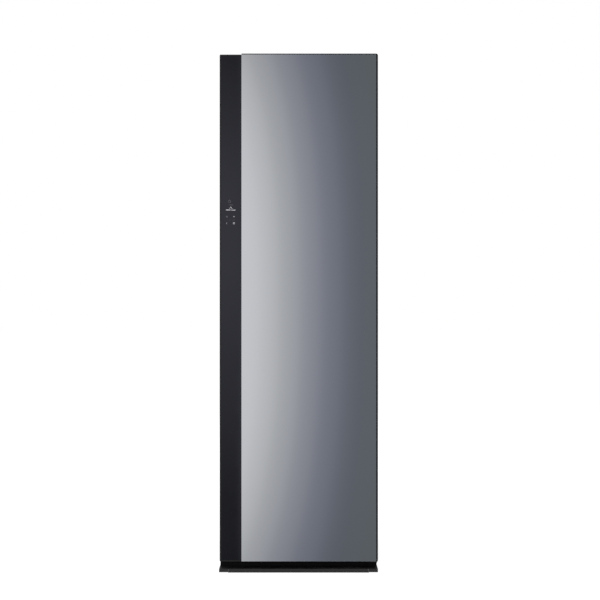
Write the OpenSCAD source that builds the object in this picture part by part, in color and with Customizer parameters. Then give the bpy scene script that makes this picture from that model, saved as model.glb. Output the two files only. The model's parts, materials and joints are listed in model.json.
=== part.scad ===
// Clothes care steam cabinet: a tall insulated wardrobe that steams, shakes and dries what hangs in it.
// Millimetres. +X is to the right, the door faces -Y, +Z is up, and the floor is z = 0.
// The origin is at the middle of the footprint on the floor. The door is shut.

/* [Cabinet] */
// Overall width
cab_w = 600; // [580:5:660]
// Overall depth, from the mirror's face to the rear cover
cab_d = 596; // [580:2:660]
// Overall height, from the floor to the top of the mirror
cab_h = 1960; // [1900:5:2080]
// Thickness of the folded steel panels
sheet = 1; // [0.8:0.1:1.4]
// Thickness of a side wall, from its steel face to the chamber
wall_t = 45; // [40:1:50]
// Thickness of the back wall's insulation
back_wall_t = 51; // [40:1:60]
// Thickness of the moulded chamber liners
liner_t = 2; // [1.5:0.1:3]
// Depth of the fold behind the cabinet's front flange
fold = 12; // [8:1:16]
// Width of the fold at the cabinet's rear edge
rear_fold = 20; // [14:1:28]

/* [Base] */
// Height of the plinth lip's top above the floor
lip_h = 14.5; // [13:0.5:18]
// Gap between the floor and the plinth's middle piece
lip_gap = 0.3; // [0.2:0.1:2]
// Gap between the floor and the plinth's corner caps
cap_gap = 1.9; // [0.5:0.1:4]
// Width of each corner cap
cap_w = 34; // [28:1:44]
// Depth of the plinth, from front to back
lip_d = 60; // [50:1:66]
// Wall of the plinth mouldings
lip_wall = 2.5; // [2:0.1:3]
// Height of the base pan
pan_h = 15.5; // [14:0.5:22]
// How far the pan's front wall lies behind the mirror's face
pan_set_back = 40; // [36:1:44]
// Thickness of the base pan's steel
pan_t = 2; // [1.5:0.1:2.5]
// Radius of a levelling foot's pad
foot_r = 20; // [16:1:24]
// Radius of a levelling foot's stem
stem_r = 5; // [4:0.5:6]
// Distance of each foot's stem from the cabinet's side
foot_inset = 55; // [50:1:80]

/* [Door] */
// Thickness of the door, from the mirror's face to the liner's face
door_t = 58; // [56:1:64]
// Thickness of the squeezed gasket
gasket_t = 8; // [6:0.5:10]
// Width of the gasket's base
gasket_w = 15; // [12:1:18]
// Distance of the gasket from the door's edges
gasket_inset = 15; // [14:1:18]
// Thickness of the mirror glass
mirror_t = 4; // [3:0.5:5]
// How far the control strip lies behind the mirror's face
strip_step = 16; // [12:1:18]
// Width of the control strip
strip_w = 84.8; // [76:0.1:100]
// Thickness of the control strip's glass
strip_glass_t = 3; // [2:0.5:4]
// Depth of the tray that holds the control strip's glass
tray_d = 14; // [12:1:16]
// Width of the bezel beside the mirror
bezel_side = 6.7; // [4:0.1:10]
// Height of the bezel above the mirror
bezel_top = 3.4; // [2:0.1:6]
// Rim of the control strip's tray
tray_rim = 5.4; // [3:0.1:8]
// Wall of the door's frame and mouldings
door_wall = 2.5; // [2:0.1:3]
// Gap between the base pan and the door's frame
door_gap = 8; // [7:0.5:12]
// Height of the mirror's lower edge above the door frame's
mirror_lift = 5; // [2:0.1:6]
// How far the door frame's top lies below the mirror's top
top_drop = 14; // [12:0.5:18]
// How far the door's handle side stands back from the cabinet's side
side_gap = 1.2; // [0.5:0.1:2]
// Height of the ridge on the door's liner
ridge_h = 4; // [2:0.5:5]

/* [Finger grip] */
// Depth of the finger groove in the door's side
grip_d = 18; // [14:1:22]
// Length of the finger groove
grip_l = 400; // [200:10:600]
// Height of the groove's middle above the floor
grip_z = 1100; // [900:10:1200]
// Wall of the groove's moulding
grip_wall = 2; // [1.5:0.1:3]

/* [Hinges] */
// Distance of the hinge axis from the cabinet's side
hinge_inset = 10; // [10:0.5:12]
// Distance of the hinge axis behind the mirror's face
hinge_depth = 36; // [35:0.5:38]
// Radius of the hinge pins
pin_r = 4; // [3.5:0.1:4.5]
// Length of a hinge pin inside the door
pin_l = 24; // [18:1:32]
// Outer radius of the hinge bushes
bush_r = 7; // [6.5:0.1:8]
// Radius of a bush's flange
bush_flange_r = 9.5; // [8.5:0.1:9.8]
// Running clearance between a pin and its bore
fit_gap = 0.05; // [0.02:0.01:0.1]
// Thickness of the upper hinge's plate
arm_t = 4; // [3:0.5:5]
// Thickness of the lower hinge's plate
step_t = 5; // [4:0.5:6]
// Gap between the door frame's top and the upper hinge's plate
top_gap = 2; // [1.5:0.5:3]

/* [Chamber] */
// Height of the sill below the tanks
sill_h = 36; // [32:1:44]
// Height of the tank bay
bay_h = 319; // [310:1:360]
// Thickness of the chamber's floor moulding
floor_t = 15; // [12:1:20]
// Height of the drive bay above the chamber, up to the top panel
drive_h = 116; // [104:1:140]
// Thickness of the chamber's ceiling
ceiling_t = 6; // [5:1:8]

/* [Moving hanger] */
// Radius of the hanger bar
bar_r = 10; // [8:0.5:12]
// Distance of the bar's axis below the ceiling
bar_drop = 85; // [70:1:110]
// Stroke of the bar to either side, and the crank's throw
throw = 20; // [12:1:24]
// Number of grooves in the bar for hangers' hooks
groove_n = 6; // [2:1:8]
// Spacing of those grooves
groove_pitch = 48; // [36:1:50]
// Width of one groove
groove_w = 8; // [6:1:12]
// Thickness of a bar guide along the bar
guide_w = 16; // [12:1:20]
// Radius of the crank disc
crank_r = 32; // [30:1:36]
// Thickness of the crank disc
crank_t = 8; // [6:1:10]
// Radius of the crank pin
crank_pin_r = 5; // [4:0.5:6]
// Distance of the crank's axis behind the bar's axis
crank_y = 60; // [56:1:70]
// Radius of the drive motor's can
motor_r = 30; // [24:1:34]
// Length of the drive motor's can
motor_l = 48; // [36:1:52]

/* [Shelf] */
// Height of the shelf's underside above the chamber's floor
shelf_z = 120; // [110:1:140]
// Thickness of the shelf
shelf_t = 12; // [10:1:16]
// Depth of the shelf, from front to back
shelf_d = 380; // [300:5:400]
// Number of slats in the shelf
slat_n = 11; // [6:1:16]
// Width of one slat
slat_w = 9; // [6:0.5:12]
// Width of the rails that carry the shelf
rail_w = 12; // [9:1:16]

/* [Trouser press] */
// Width of the press board
press_w = 424; // [380:2:440]
// Height of the press board
press_h = 880; // [700:10:900]
// Height of the press board's lower edge above the floor
press_z = 620; // [610:5:640]
// Thickness of the press board
press_t = 16; // [12:1:18]
// Thickness of the press plate
plate_t = 12; // [10:1:14]
// Gap between the board and the shut plate
press_gap = 2; // [1:0.5:4]
// Radius of the press plate's hinge barrel
barrel_r = 7; // [6:0.5:7.5]
// Height of the plate's hinge ears
ear_h = 16; // [12:1:24]

/* [Tanks] */
// Height of a water tank
tank_h = 286; // [240:2:300]
// Depth of a water tank
tank_d = 160; // [120:2:170]
// How far a tank's front lies behind the cabinet's front
tank_in = 32; // [30:1:44]
// Wall of a water tank
tank_wall = 2.5; // [2:0.1:4]
// Gap beside a tank
tank_gap = 6; // [4:0.5:12]
// Depth of a tank's grip lip
tank_lip = 8; // [6:0.5:10]
// Radius of a tank's filler cap
tank_cap_r = 24; // [18:1:30]

/* [Filters and grille] */
// Width of the lint filter
lint_w = 180; // [120:2:190]
// Depth of the lint filter's basket below the floor
lint_deep = 80; // [50:1:90]
// Length of the lint filter from front to back
lint_l = 60; // [40:1:70]
// Width of the aroma case
aroma_w = 92; // [70:1:100]
// Depth of the aroma case below the floor
aroma_deep = 40; // [25:1:50]
// Rim of the filters' and grille's flanges
flange_rim = 8; // [6:0.5:10]
// Thickness of the filters' and grille's flanges
flange_t = 4; // [3:0.5:6]
// Width of the steam grille's opening
vent_w = 300; // [200:2:320]
// Length of the steam grille's opening from front to back
vent_l = 60; // [40:1:66]
// Number of the steam grille's blades
vent_n = 21; // [11:1:27]

/* [Machine space] */
// Radius of the compressor's shell
comp_r = 55; // [44:1:58]
// Height of the compressor's shell
comp_h = 190; // [150:1:220]
// Radius of the blower wheel
wheel_r = 54; // [44:1:58]
// Width of the blower wheel
wheel_w = 44; // [34:1:50]
// Number of blades in the blower wheel
blade_n = 28; // [16:1:36]
// Radius of the blower wheel's shaft
shaft_r = 4; // [3:0.5:5]
// Radius of the steam boiler
boiler_r = 38; // [28:1:42]
// Height of the steam boiler
boiler_h = 120; // [90:1:150]
// Height of the heat exchangers
coil_h = 220; // [160:1:240]
// Depth of each heat exchanger
coil_d = 46; // [34:1:50]
// Number of fins in a heat exchanger
fin_n = 14; // [8:1:20]

/* [Hidden] */
$fn = 48;

// Overlap of two shapes of one moulding where they join, and the reach of a cut past a face
join = 0.5;
past = 1;
// Gap left between two pieces that lift or slide apart
slip = 0.5;

// The cabinet's planes
half_w = cab_w / 2;
front_y = -cab_d / 2;
back_y = cab_d / 2;
cover_d = 8;                              // depth of the rear cover
bay_room = 14;                            // room behind the tanks
rear_y = back_y - cover_d;                // back panel's outer face
door_back = front_y + door_t;             // liner's face
flange_y = door_back + gasket_t;          // cabinet's front face
in_w = half_w - wall_t;                   // half the chamber's width
in_back = rear_y - sheet - back_wall_t;   // chamber's back face
pan_top = lip_h + pan_h;
door_z0 = pan_top + door_gap;
door_z1 = cab_h - top_drop;
shell_z1 = door_z1 + top_gap - 2 * sheet; // side panels' top edge
top_z = shell_z1 + 2 * sheet;             // top panel's face
deck_z = pan_top + sill_h;                // tank bay's deck
floor_z = deck_z + bay_h + floor_t;       // chamber floor's face
ceil_z = shell_z1 - drive_h;              // chamber ceiling's underside
bay_back = flange_y + tank_in + tank_d + tank_gap + bay_room; // tank bay's back wall

// The door's planes
mirror_z0 = door_z0 + mirror_lift;
strip_x = -half_w + strip_w;              // edge between strip and mirror
door_x0 = -half_w + side_gap;
strip_y = front_y + strip_step;           // control glass's face
tray_y = strip_y + tray_d;                // back of the strip's tray
liner_y = door_back - liner_t;            // back of the door's frame
hinge_x = half_w - hinge_inset;
hinge_y = front_y + hinge_depth;

// Points of a quarter circle of radius r about c, from angle a
function corner(c, r, a, n = 6) =
    [for (i = [0:n]) c + r * [cos(a + 90 * i / n), sin(a + 90 * i / n)]];

// Points of a rectangle from lo to hi with its corners rounded to r
function round_rect(lo, hi, r) = concat(
    corner([hi.x - r, lo.y + r], r, -90), corner([hi.x - r, hi.y - r], r, 0),
    corner([lo.x + r, hi.y - r], r, 90), corner([lo.x + r, lo.y + r], r, 180));

// Block from corner lo to corner hi
module block(lo, hi) {
    translate(lo) cube(hi - lo);
}

// Outline in X and Y, extruded from z0 to z1
module upright(points, z0, z1) {
    translate([0, 0, z0]) linear_extrude(z1 - z0) polygon(points);
}

// Outline in X and Z, extruded from y0 to y1
module facing(points, y0, y1) {
    translate([0, y1, 0]) rotate([90, 0, 0]) linear_extrude(y1 - y0) polygon(points);
}

// Outline in Y and Z, extruded from x0 to x1
module sideways(points, x0, x1) {
    translate([x0, 0, 0]) rotate([90, 0, 90]) linear_extrude(x1 - x0) polygon(points);
}

// Cylinder along Y from y0 to y1, and along X from x0 to x1
module rod_y(x, z, r, y0, y1) {
    translate([x, y1, z]) rotate([90, 0, 0]) cylinder(r = r, h = y1 - y0);
}
module rod_x(y, z, r, x0, x1) {
    translate([x0, y, z]) rotate([0, 90, 0]) cylinder(r = r, h = x1 - x0);
}
module rod_z(x, y, r, z0, z1) {
    translate([x, y, z0]) cylinder(r = r, h = z1 - z0);
}

// Copy mirrored to the other side of the cabinet's middle plane
module other_side() {
    mirror([1, 0, 0]) children();
}

// ---------------------------------------------------------------- door front

// Outline of the mirror's bezel, with a round outer corner and a cut inner one
bezel_r = 7;
bezel_cut = 1.2;
bezel_foot_r = 5;
bezel_outline = concat(
    [[strip_x, mirror_z0]],
    corner([half_w - bezel_foot_r, mirror_z0 + bezel_foot_r], bezel_foot_r, -90),
    corner([half_w - bezel_r, cab_h - bezel_r], bezel_r, 0),
    [[strip_x + bezel_cut, cab_h], [strip_x, cab_h - bezel_cut]]);
glass_r = 3;
glass_outline = concat(
    [[strip_x, mirror_z0], [half_w - bezel_side, mirror_z0]],
    corner([half_w - bezel_side - glass_r, cab_h - bezel_top - glass_r], glass_r, 0),
    [[strip_x, cab_h - bezel_top]]);

module door_mirror() {
    color("silver")
        intersection() {
            facing(glass_outline, front_y, front_y + mirror_t);
            facing(bezel_outline, front_y - past, strip_y);
        }
}

// Backing tray of the mirror: a rim at the side and top, and a ribbed hollow behind the glass
bezel_rib_n = 5;
module mirror_bezel() {
    back_wall = front_y + mirror_t + door_wall;
    cell = (door_z1 - mirror_z0 - door_wall) / bezel_rib_n;
    color("dimgray")
        difference() {
            facing(bezel_outline, front_y, strip_y);
            facing(glass_outline, front_y - past, front_y + mirror_t);
            for (i = [0:bezel_rib_n - 1])
                block([strip_x + door_wall, back_wall, mirror_z0 + door_wall + i * cell],
                      [half_w - door_wall, strip_y + past, mirror_z0 + (i + 1) * cell]);
        }
}

// The strip's tray, its glass and the display behind it
tray_z1 = cab_h;
tray_r = 4;
display_z = 1360;      // middle of the display above the floor
display_h = 150;
display_rim = 5;
tray_lo = [door_x0, door_z0];
tray_hi = [strip_x, tray_z1];
rim = [tray_rim, tray_rim];
module control_glass() {
    color([0.12, 0.12, 0.13])
        facing(round_rect(tray_lo + rim, tray_hi - [0, tray_rim], tray_r),
               strip_y, strip_y + strip_glass_t);
}

module strip_tray() {
    seat = strip_y + strip_glass_t;
    color([0.08, 0.08, 0.09])
        difference() {
            facing(round_rect(tray_lo, tray_hi, tray_r), strip_y, tray_y);
            facing(round_rect(tray_lo + rim, tray_hi - [-past, tray_rim], tray_r),
                   strip_y - past, seat);
            block([door_x0 + tray_rim + display_rim, seat - past, display_z - display_h / 2],
                  [strip_x - display_rim, tray_y + past, display_z + display_h / 2]);
        }
}

// Circuit board with its light pipes, in the tray's window behind the glass
board_t = 3;
light_n = 6;
module display_module() {
    x0 = door_x0 + tray_rim + display_rim + slip;
    x1 = strip_x - display_rim - slip;
    z0 = display_z - display_h / 2 + slip;
    z1 = display_z + display_h / 2 - slip;
    seat = strip_y + strip_glass_t;
    pitch = (z1 - z0) / light_n;
    color("darkgreen") {
        block([x0, tray_y - board_t, z0], [x1, tray_y, z1]);
        for (i = [0:light_n - 1])
            rod_y((x0 + x1) / 2, z0 + (i + 0.5) * pitch, pitch / 3, seat, tray_y - board_t + join);
    }
}

// ---------------------------------------------------------------- door body

// Plan outline of the door's frame: a step for the strip's tray, grown inwards by w
function frame_plan(w) = [
    [door_x0 + w, tray_y + w], [strip_x + w, tray_y + w], [strip_x + w, strip_y + w],
    [half_w - w, strip_y + w], [half_w - w, liner_y + (w > 0 ? past : 0)],
    [door_x0 + w, liner_y + (w > 0 ? past : 0)]];

// Blocks inside the frame that hold the hinge bushes
boss = 1.5 * bush_r;
boss_l = pin_l + 10;
module hinge_bosses() {
    for (z = [door_z0, door_z1 - boss_l])
        block([hinge_x - boss, hinge_y - boss, z], [half_w - join, hinge_y + boss, z + boss_l]);
}

// Finger groove: outer and inner section of its moulding
grip_y0 = tray_y;
grip_y1 = liner_y - 2;
module grip_space(w) {
    block([door_x0 - (w > 0 ? past : 0), grip_y0 + w, grip_z - grip_l / 2 + w],
          [door_x0 + grip_d + (w > 0 ? 0 : grip_wall), grip_y1 - w, grip_z + grip_l / 2 - w]);
}

module door_frame() {
    color("dimgray")
        difference() {
            upright(frame_plan(0), door_z0, door_z1);
            difference() {
                upright(frame_plan(door_wall), door_z0 + door_wall, door_z1 - door_wall);
                hinge_bosses();
            }
            translate([-past, 0, 0]) grip_space(0);
            grip_space(0);
            rod_z(hinge_x, hinge_y, bush_r, door_z1 - pin_l - top_gap, door_z1 + past);
            rod_z(hinge_x, hinge_y, bush_r, door_z0 - past, door_z0 + pin_l + top_gap);
        }
}

// Foam that fills the frame
module door_core() {
    color("khaki")
        difference() {
            intersection() {
                upright(frame_plan(door_wall), door_z0 + door_wall, door_z1 - door_wall);
                block([-cab_w, front_y, 0], [cab_w, liner_y, cab_h]);
            }
            hinge_bosses();
            grip_space(0);
        }
}

// Inner liner with a ridge that runs inside the gasket
ridge_w = 8;
ridge_in = gasket_inset + gasket_w + 4;
module ring(inset, w, y0, y1, r) {
    lo = [-half_w + inset, door_z0 + inset];
    hi = [half_w - inset, door_z1 - inset];
    difference() {
        facing(round_rect(lo, hi, r), y0, y1);
        facing(round_rect(lo + [w, w], hi - [w, w], r), y0 - past, y1 + past);
    }
}

liner_r = 6;
field_r = 22;          // corner of a raised field on a liner
field_t = 1.5;         // height of a raised field
field_gap = 30;        // distance of a raised field from what is beside it
field_lo = [-half_w + ridge_in + field_gap, door_z0 + ridge_in + field_gap];
field_hi = [half_w - ridge_in - field_gap, door_z1 - ridge_in - field_gap];
module door_liner() {
    color("white") {
        facing(round_rect([door_x0, door_z0], [half_w, door_z1], liner_r), liner_y, door_back);
        ring(ridge_in, ridge_w, door_back - join, door_back + ridge_h, liner_r);
        facing(round_rect(field_lo, [field_hi.x, press_z - field_gap], field_r),
               door_back - join, door_back + field_t);
        facing(round_rect([field_lo.x, clip_z + field_gap], field_hi, field_r),
               door_back - join, door_back + field_t);
    }
}

// Gasket: a wide base on the liner and the narrower bellows that meets the flange
bellows_w = 0.6 * gasket_w;
base_t = 0.4 * gasket_t;
module door_gasket() {
    color("gray") {
        ring(gasket_inset, gasket_w, door_back, door_back + base_t, liner_r);
        ring(gasket_inset + (gasket_w - bellows_w) / 2, bellows_w,
             door_back + base_t - join, flange_y, liner_r);
    }
}

module grip_insert() {
    color([0.1, 0.1, 0.1])
        difference() {
            grip_space(0);
            grip_space(grip_wall);
        }
}

// Flanged nylon bush, standing up from z with its flange below
module bush(flange) {
    difference() {
        union() {
            rod_z(hinge_x, hinge_y, bush_flange_r, -flange, 0);
            rod_z(hinge_x, hinge_y, bush_r, -join, pin_l + top_gap);
        }
        rod_z(hinge_x, hinge_y, pin_r + fit_gap, -flange - past, pin_l + top_gap + past);
    }
}

module hinge_bush_upper() {
    color("ivory") translate([0, 0, door_z1]) mirror([0, 0, 1]) bush(top_gap);
}

module hinge_bush_lower() {
    color("ivory") translate([0, 0, door_z0]) bush(door_gap - step_t);
}

// ---------------------------------------------------------------- trouser press

press_r = 14;
press_face = door_back + press_t;          // board's face
plate_y = press_face + press_gap + plate_t / 2; // middle of the plate and its hinge axis
press_x = press_w / 2 - barrel_r;          // hinge axis
press_z1 = press_z + press_h;
press_pin_r = 3;
plate_end = 4;                             // gap between the plate and each ear
latch_z = press_z + press_h / 2;
keeper_w = 5;
keeper_h = 30;
arm_w = 12;
arm_thick = 5;
latch_l = 30;
latch_x = -press_w / 2 + keeper_w + latch_l + slip;
plate_face = plate_y + plate_t / 2;
clip_w = 300;
clip_h = 44;
clip_t = 5;
clip_edge = 9;                             // reach of the finger edge at the clip's foot
clip_r = 4;
clip_gap = 12;                             // gap between the board and the clip's rail
clip_z = press_z1 + clip_gap + clip_h;     // clip's hinge axis
clip_rail_t = 10;
cell_n = 6;                                // rows of hollows in the board's back
flute_n = 7;
flute_w = 9;
flute_in = 46;                             // distance of the flutes from the plate's edge
flute_deep = 1.6;
tooth_n = 15;
clip_y = door_back + clip_rail_t + press_gap + clip_r;

// Press board with its hinge ears, latch keeper and the rail of the hem clip
module press_base() {
    hook_y = plate_face + slip + arm_thick + slip;
    cell_w = (press_w - 2 * press_r) / 3;
    cell_h = (press_h - 2 * press_r) / cell_n;
    color("whitesmoke")
        difference() {
            union() {
                facing(round_rect([-press_w / 2, press_z], [press_w / 2, press_z1], press_r),
                       door_back, press_face);
                for (z = [press_z, press_z1 - ear_h])
                    block([press_x - barrel_r, press_face - join, z + press_r * (z == press_z ? 1 : -1)],
                          [press_x + barrel_r, plate_y + barrel_r,
                           z + press_r * (z == press_z ? 1 : -1) + ear_h]);
                block([-press_w / 2, press_face - join, latch_z - keeper_h / 2],
                      [-press_w / 2 + keeper_w, hook_y + keeper_w, latch_z + keeper_h / 2]);
                block([-press_w / 2, hook_y, latch_z - keeper_h / 2],
                      [-press_w / 2 + keeper_w + arm_w, hook_y + keeper_w, latch_z + keeper_h / 2]);
                block([-clip_w / 2 - arm_w, door_back, press_z1 - press_r],
                      [clip_w / 2 + arm_w, door_back + clip_rail_t, clip_z + arm_w]);
                for (s = [-1, 1])
                    block([s * (clip_w + arm_w) / 2 - arm_w / 2 + slip * s, door_back, clip_z - clip_h / 4],
                          [s * (clip_w + arm_w) / 2 + arm_w / 2 + slip * s, clip_y + 2 * clip_r,
                           clip_z + arm_w]);
            }
            rod_z(press_x, plate_y, press_pin_r + fit_gap, press_z - past, press_z1 + past);
            rod_x(clip_y, clip_z, clip_r / 2 + fit_gap, -clip_w, clip_w);
            for (i = [0:cell_n - 1], k = [-1, 0, 1])
                block([k * cell_w - cell_w / 2 + door_wall, door_back - past,
                       press_z + press_r + i * cell_h + door_wall],
                      [k * cell_w + cell_w / 2 - door_wall, press_face - door_wall,
                       press_z + press_r + (i + 1) * cell_h - door_wall]);
        }
}

// Hinged press plate: a flat plate on a barrel with a pin at each end
module press_plate() {
    z0 = press_z + press_r + ear_h + plate_end;
    z1 = press_z1 - press_r - ear_h - plate_end;
    left = -press_w / 2 + keeper_w + arm_w + 2 * slip;
    flute_step = (press_x - barrel_r - left - 2 * flute_in - flute_w) / (flute_n - 1);
    color("lightgray")
        difference() {
            union() {
                facing(round_rect([left, z0], [press_x + join, z1], barrel_r),
                       plate_y - plate_t / 2, plate_face);
                rod_z(press_x, plate_y, barrel_r, z0, z1);
                rod_z(press_x, plate_y, press_pin_r, press_z + press_r, press_z1 - press_r);
            }
            rod_y(latch_x, latch_z, clip_r + fit_gap, plate_y - plate_t / 2 - past, plate_face + past);
            for (i = [0:flute_n - 1])
                facing(round_rect([left + flute_in + i * flute_step, z0 + flute_in],
                                  [left + flute_in + i * flute_step + flute_w, z1 - flute_in],
                                  flute_w / 2 - join),
                       plate_face - flute_deep, plate_face + past);
        }
}

// Turn latch, set free: its arm stands upright beside the keeper
module press_latch() {
    arm_y = plate_face + slip;
    color("dimgray") {
        rod_y(latch_x, latch_z, clip_r, plate_y - plate_t / 2, arm_y + join);
        facing(round_rect([latch_x - arm_w / 2, latch_z - arm_w / 2],
                          [latch_x + arm_w / 2, latch_z + latch_l], arm_w / 2 - join),
               arm_y, arm_y + arm_thick);
    }
}

// Hem clip: a flap that hangs from its pivots over the rail
module hem_clip() {
    color("dimgray") {
        rod_x(clip_y, clip_z, clip_r / 2, -clip_w / 2 - arm_w / 2, clip_w / 2 + arm_w / 2);
        rod_x(clip_y, clip_z, clip_r, -clip_w / 2 + slip, clip_w / 2 - slip);
        sideways(round_rect([clip_y - clip_t / 2, clip_z - clip_h], [clip_y + clip_t / 2, clip_z], 1),
                 -clip_w / 2 + slip, clip_w / 2 - slip);
        sideways([[clip_y, clip_z - clip_h + join], [clip_y + clip_edge, clip_z - clip_h - clip_t / 2],
                  [clip_y + clip_edge, clip_z - clip_h + clip_t / 2], [clip_y, clip_z - clip_h + 2 * clip_t]],
                 -clip_w / 4, clip_w / 4);
        for (i = [0:tooth_n - 1])
            translate([(i - (tooth_n - 1) / 2) * (clip_w - 2 * clip_t) / tooth_n, 0, 0])
                block([-clip_t / 2, clip_y + clip_t / 2 - join, clip_z - clip_h + 3 * clip_t],
                      [clip_t / 2, clip_y + clip_t / 2 + clip_r / 4, clip_z - clip_r]);
    }
}

// ---------------------------------------------------------------- base

foot_room = 12;
foot_y = [front_y + lip_d + foot_r + foot_room, rear_y - foot_r - foot_room];
foot_x = half_w - foot_inset;
nut_h = pan_h - pan_t - 3;
pan_x = half_w - 2;
pan_y0 = front_y + pan_set_back;
pan_y1 = rear_y - sheet;

// Pressed steel pan with a nut boss over each foot and a ledge under the door
module base_pan() {
    color([0.12, 0.12, 0.12])
        difference() {
            union() {
                difference() {
                    block([-pan_x, pan_y0, lip_h], [pan_x, pan_y1, pan_top]);
                    block([-pan_x + pan_t, pan_y0 + pan_t, lip_h + pan_t],
                          [pan_x - pan_t, pan_y1 - pan_t, pan_top + past]);
                }
                block([-pan_x, pan_y0, pan_top - pan_t], [pan_x, flange_y + fold, pan_top]);
                for (s = [-1, 1], y = foot_y)
                    rod_z(s * foot_x, y, 2 * stem_r, lip_h + join, lip_h + pan_t + nut_h);
            }
            for (s = [-1, 1], y = foot_y)
                rod_z(s * foot_x, y, stem_r + fit_gap, lip_h - past, lip_h + pan_t + nut_h + past);
        }
}

// Channel-shaped plinth moulding: front wall, top wall and end walls
module plinth(x0, x1, gap, ends) {
    difference() {
        block([x0, front_y, gap], [x1, front_y + lip_d, lip_h]);
        block([x0 + ends[0], front_y + lip_wall, gap - past],
              [x1 - ends[1], front_y + lip_d + past, lip_h - lip_wall]);
    }
}

rib_n = 7;
module plinth_front() {
    reach = half_w - cap_w;
    color([0.2, 0.2, 0.2]) {
        plinth(-reach, reach, lip_gap, [lip_wall, lip_wall]);
        for (i = [1:rib_n])
            translate([-reach + i * 2 * reach / (rib_n + 1), 0, 0])
                block([-1, front_y + join, lip_gap + join], [1, front_y + lip_d / 2, lip_h - join]);
    }
}

module corner_cap_left() {
    color([0.2, 0.2, 0.2]) plinth(-half_w, -half_w + cap_w, cap_gap, [lip_wall, lip_wall]);
}

module corner_cap_right() {
    color([0.2, 0.2, 0.2]) other_side() corner_cap_left();
}

// Levelling foot: pad, hexagon for a spanner and stem
pad_h = 6;
hex_r = 9;
hex_h = 5;
module foot(s, y) {
    color([0.15, 0.15, 0.15])
        translate([s * foot_x, y, 0]) {
            rotate_extrude()
                polygon([[0, 0], [foot_r - 1, 0], [foot_r, 1], [foot_r, pad_h - 2],
                         [foot_r - 5, pad_h], [0, pad_h]]);
            translate([0, 0, pad_h - join]) cylinder(r = hex_r, h = hex_h, $fn = 6);
            translate([0, 0, pad_h]) cylinder(r = stem_r, h = lip_h + nut_h - pad_h);
        }
}
module foot_front_left() { foot(-1, foot_y[0]); }
module foot_front_right() { foot(1, foot_y[0]); }
module foot_rear_left() { foot(-1, foot_y[1]); }
module foot_rear_right() { foot(1, foot_y[1]); }

// ---------------------------------------------------------------- hinges

arm_in = 26;
arm_out = 6;
arm_reach = 70;
arm_x0 = hinge_x - arm_in;
arm_x1 = hinge_x + arm_out;
arm_back = flange_y + arm_reach;

// Upper hinge: a plate on the top panel that reaches over the door, with a pin hanging from it
module hinge_upper() {
    color("silver") {
        block([arm_x0, hinge_y, top_z], [arm_x1, arm_back, top_z + arm_t]);
        rod_z(hinge_x, hinge_y, bush_flange_r, top_z, top_z + arm_t);
        block([arm_x0, hinge_y - bush_flange_r, top_z], [hinge_x, hinge_y + join, top_z + arm_t]);
        rod_z(hinge_x, hinge_y, pin_r, door_z1 - pin_l, top_z + join);
    }
}

// Lower hinge: a step on the pan's ledge with a lip down its front, and a pin that stands up
module hinge_lower() {
    z1 = pan_top + step_t;
    color("silver") {
        block([arm_x0, hinge_y - bush_flange_r, pan_top], [arm_x1, flange_y - slip, z1]);
        rod_z(hinge_x, hinge_y, bush_flange_r, pan_top, z1);
        block([arm_x0, pan_y0 - arm_t, lip_h + join], [arm_x1, pan_y0, pan_top + join]);
        rod_z(hinge_x, hinge_y, pin_r, z1 - join, door_z0 + pin_l);
    }
}

// ---------------------------------------------------------------- cabinet shell

flange_w = wall_t - liner_t;

// Plan outline of the right side panel: front flange and its fold, side, rear fold
side_plan = [
    [half_w, flange_y], [half_w, rear_y - sheet], [half_w - rear_fold, rear_y - sheet],
    [half_w - rear_fold, rear_y - 2 * sheet], [half_w - sheet, rear_y - 2 * sheet],
    [half_w - sheet, flange_y + sheet], [half_w - flange_w + sheet, flange_y + sheet],
    [half_w - flange_w + sheet, flange_y + fold], [half_w - flange_w, flange_y + fold],
    [half_w - flange_w, flange_y]];

module side_panel_right() {
    color("gainsboro") upright(side_plan, pan_top, shell_z1);
}

module side_panel_left() {
    color("gainsboro") other_side() side_panel_right();
}

// Section of a front cross member: a face with a fold at its top and bottom
function cross_section(z0, z1) = [
    [flange_y, z0], [flange_y, z1], [flange_y + fold, z1], [flange_y + fold, z1 - sheet],
    [flange_y + sheet, z1 - sheet], [flange_y + sheet, z0 + sheet],
    [flange_y + fold, z0 + sheet], [flange_y + fold, z0]];

module front_header() {
    color("gainsboro")
        sideways(cross_section(ceil_z, shell_z1), -half_w + flange_w, half_w - flange_w);
}

module front_sill() {
    color("gainsboro")
        sideways(cross_section(pan_top, deck_z), -half_w + flange_w, half_w - flange_w);
}

// Top panel: a plate with a raised field, and a hem inside each side panel
top_in = 50;
module top_panel() {
    hem = half_w - 2 * sheet;
    color("gainsboro") {
        block([-half_w, flange_y, shell_z1], [half_w, rear_y, top_z]);
        upright(round_rect([-half_w + top_in, flange_y + top_in], [half_w - top_in, rear_y - top_in],
                           emboss_r), top_z - join, top_z + sheet);
        for (x = [-hem, hem - sheet])
            block([x, flange_y + fold, shell_z1 - fold], [x + sheet, rear_y - fold, shell_z1 + join]);
    }
}

cover_side = 90;                          // distance of the rear cover from the cabinet's side
gland_x = -half_w + cover_side - 40;
gland_z = pan_top + cover_side - 50;
gland_r = 10;
emboss_w = 60;
emboss_r = 12;
module back_panel() {
    color("silver")
        difference() {
            union() {
                block([-half_w, rear_y - sheet, pan_top], [half_w, rear_y, shell_z1]);
                for (s = [-1, 1])
                    facing(round_rect([s * half_w / 2 - emboss_w, floor_z],
                                      [s * half_w / 2 + emboss_w, ceil_z], emboss_r),
                           rear_y - join, rear_y + 2 * sheet);
            }
            rod_y(gland_x, gland_z, gland_r + fit_gap, rear_y - fold, rear_y + past);
        }
}

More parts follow.
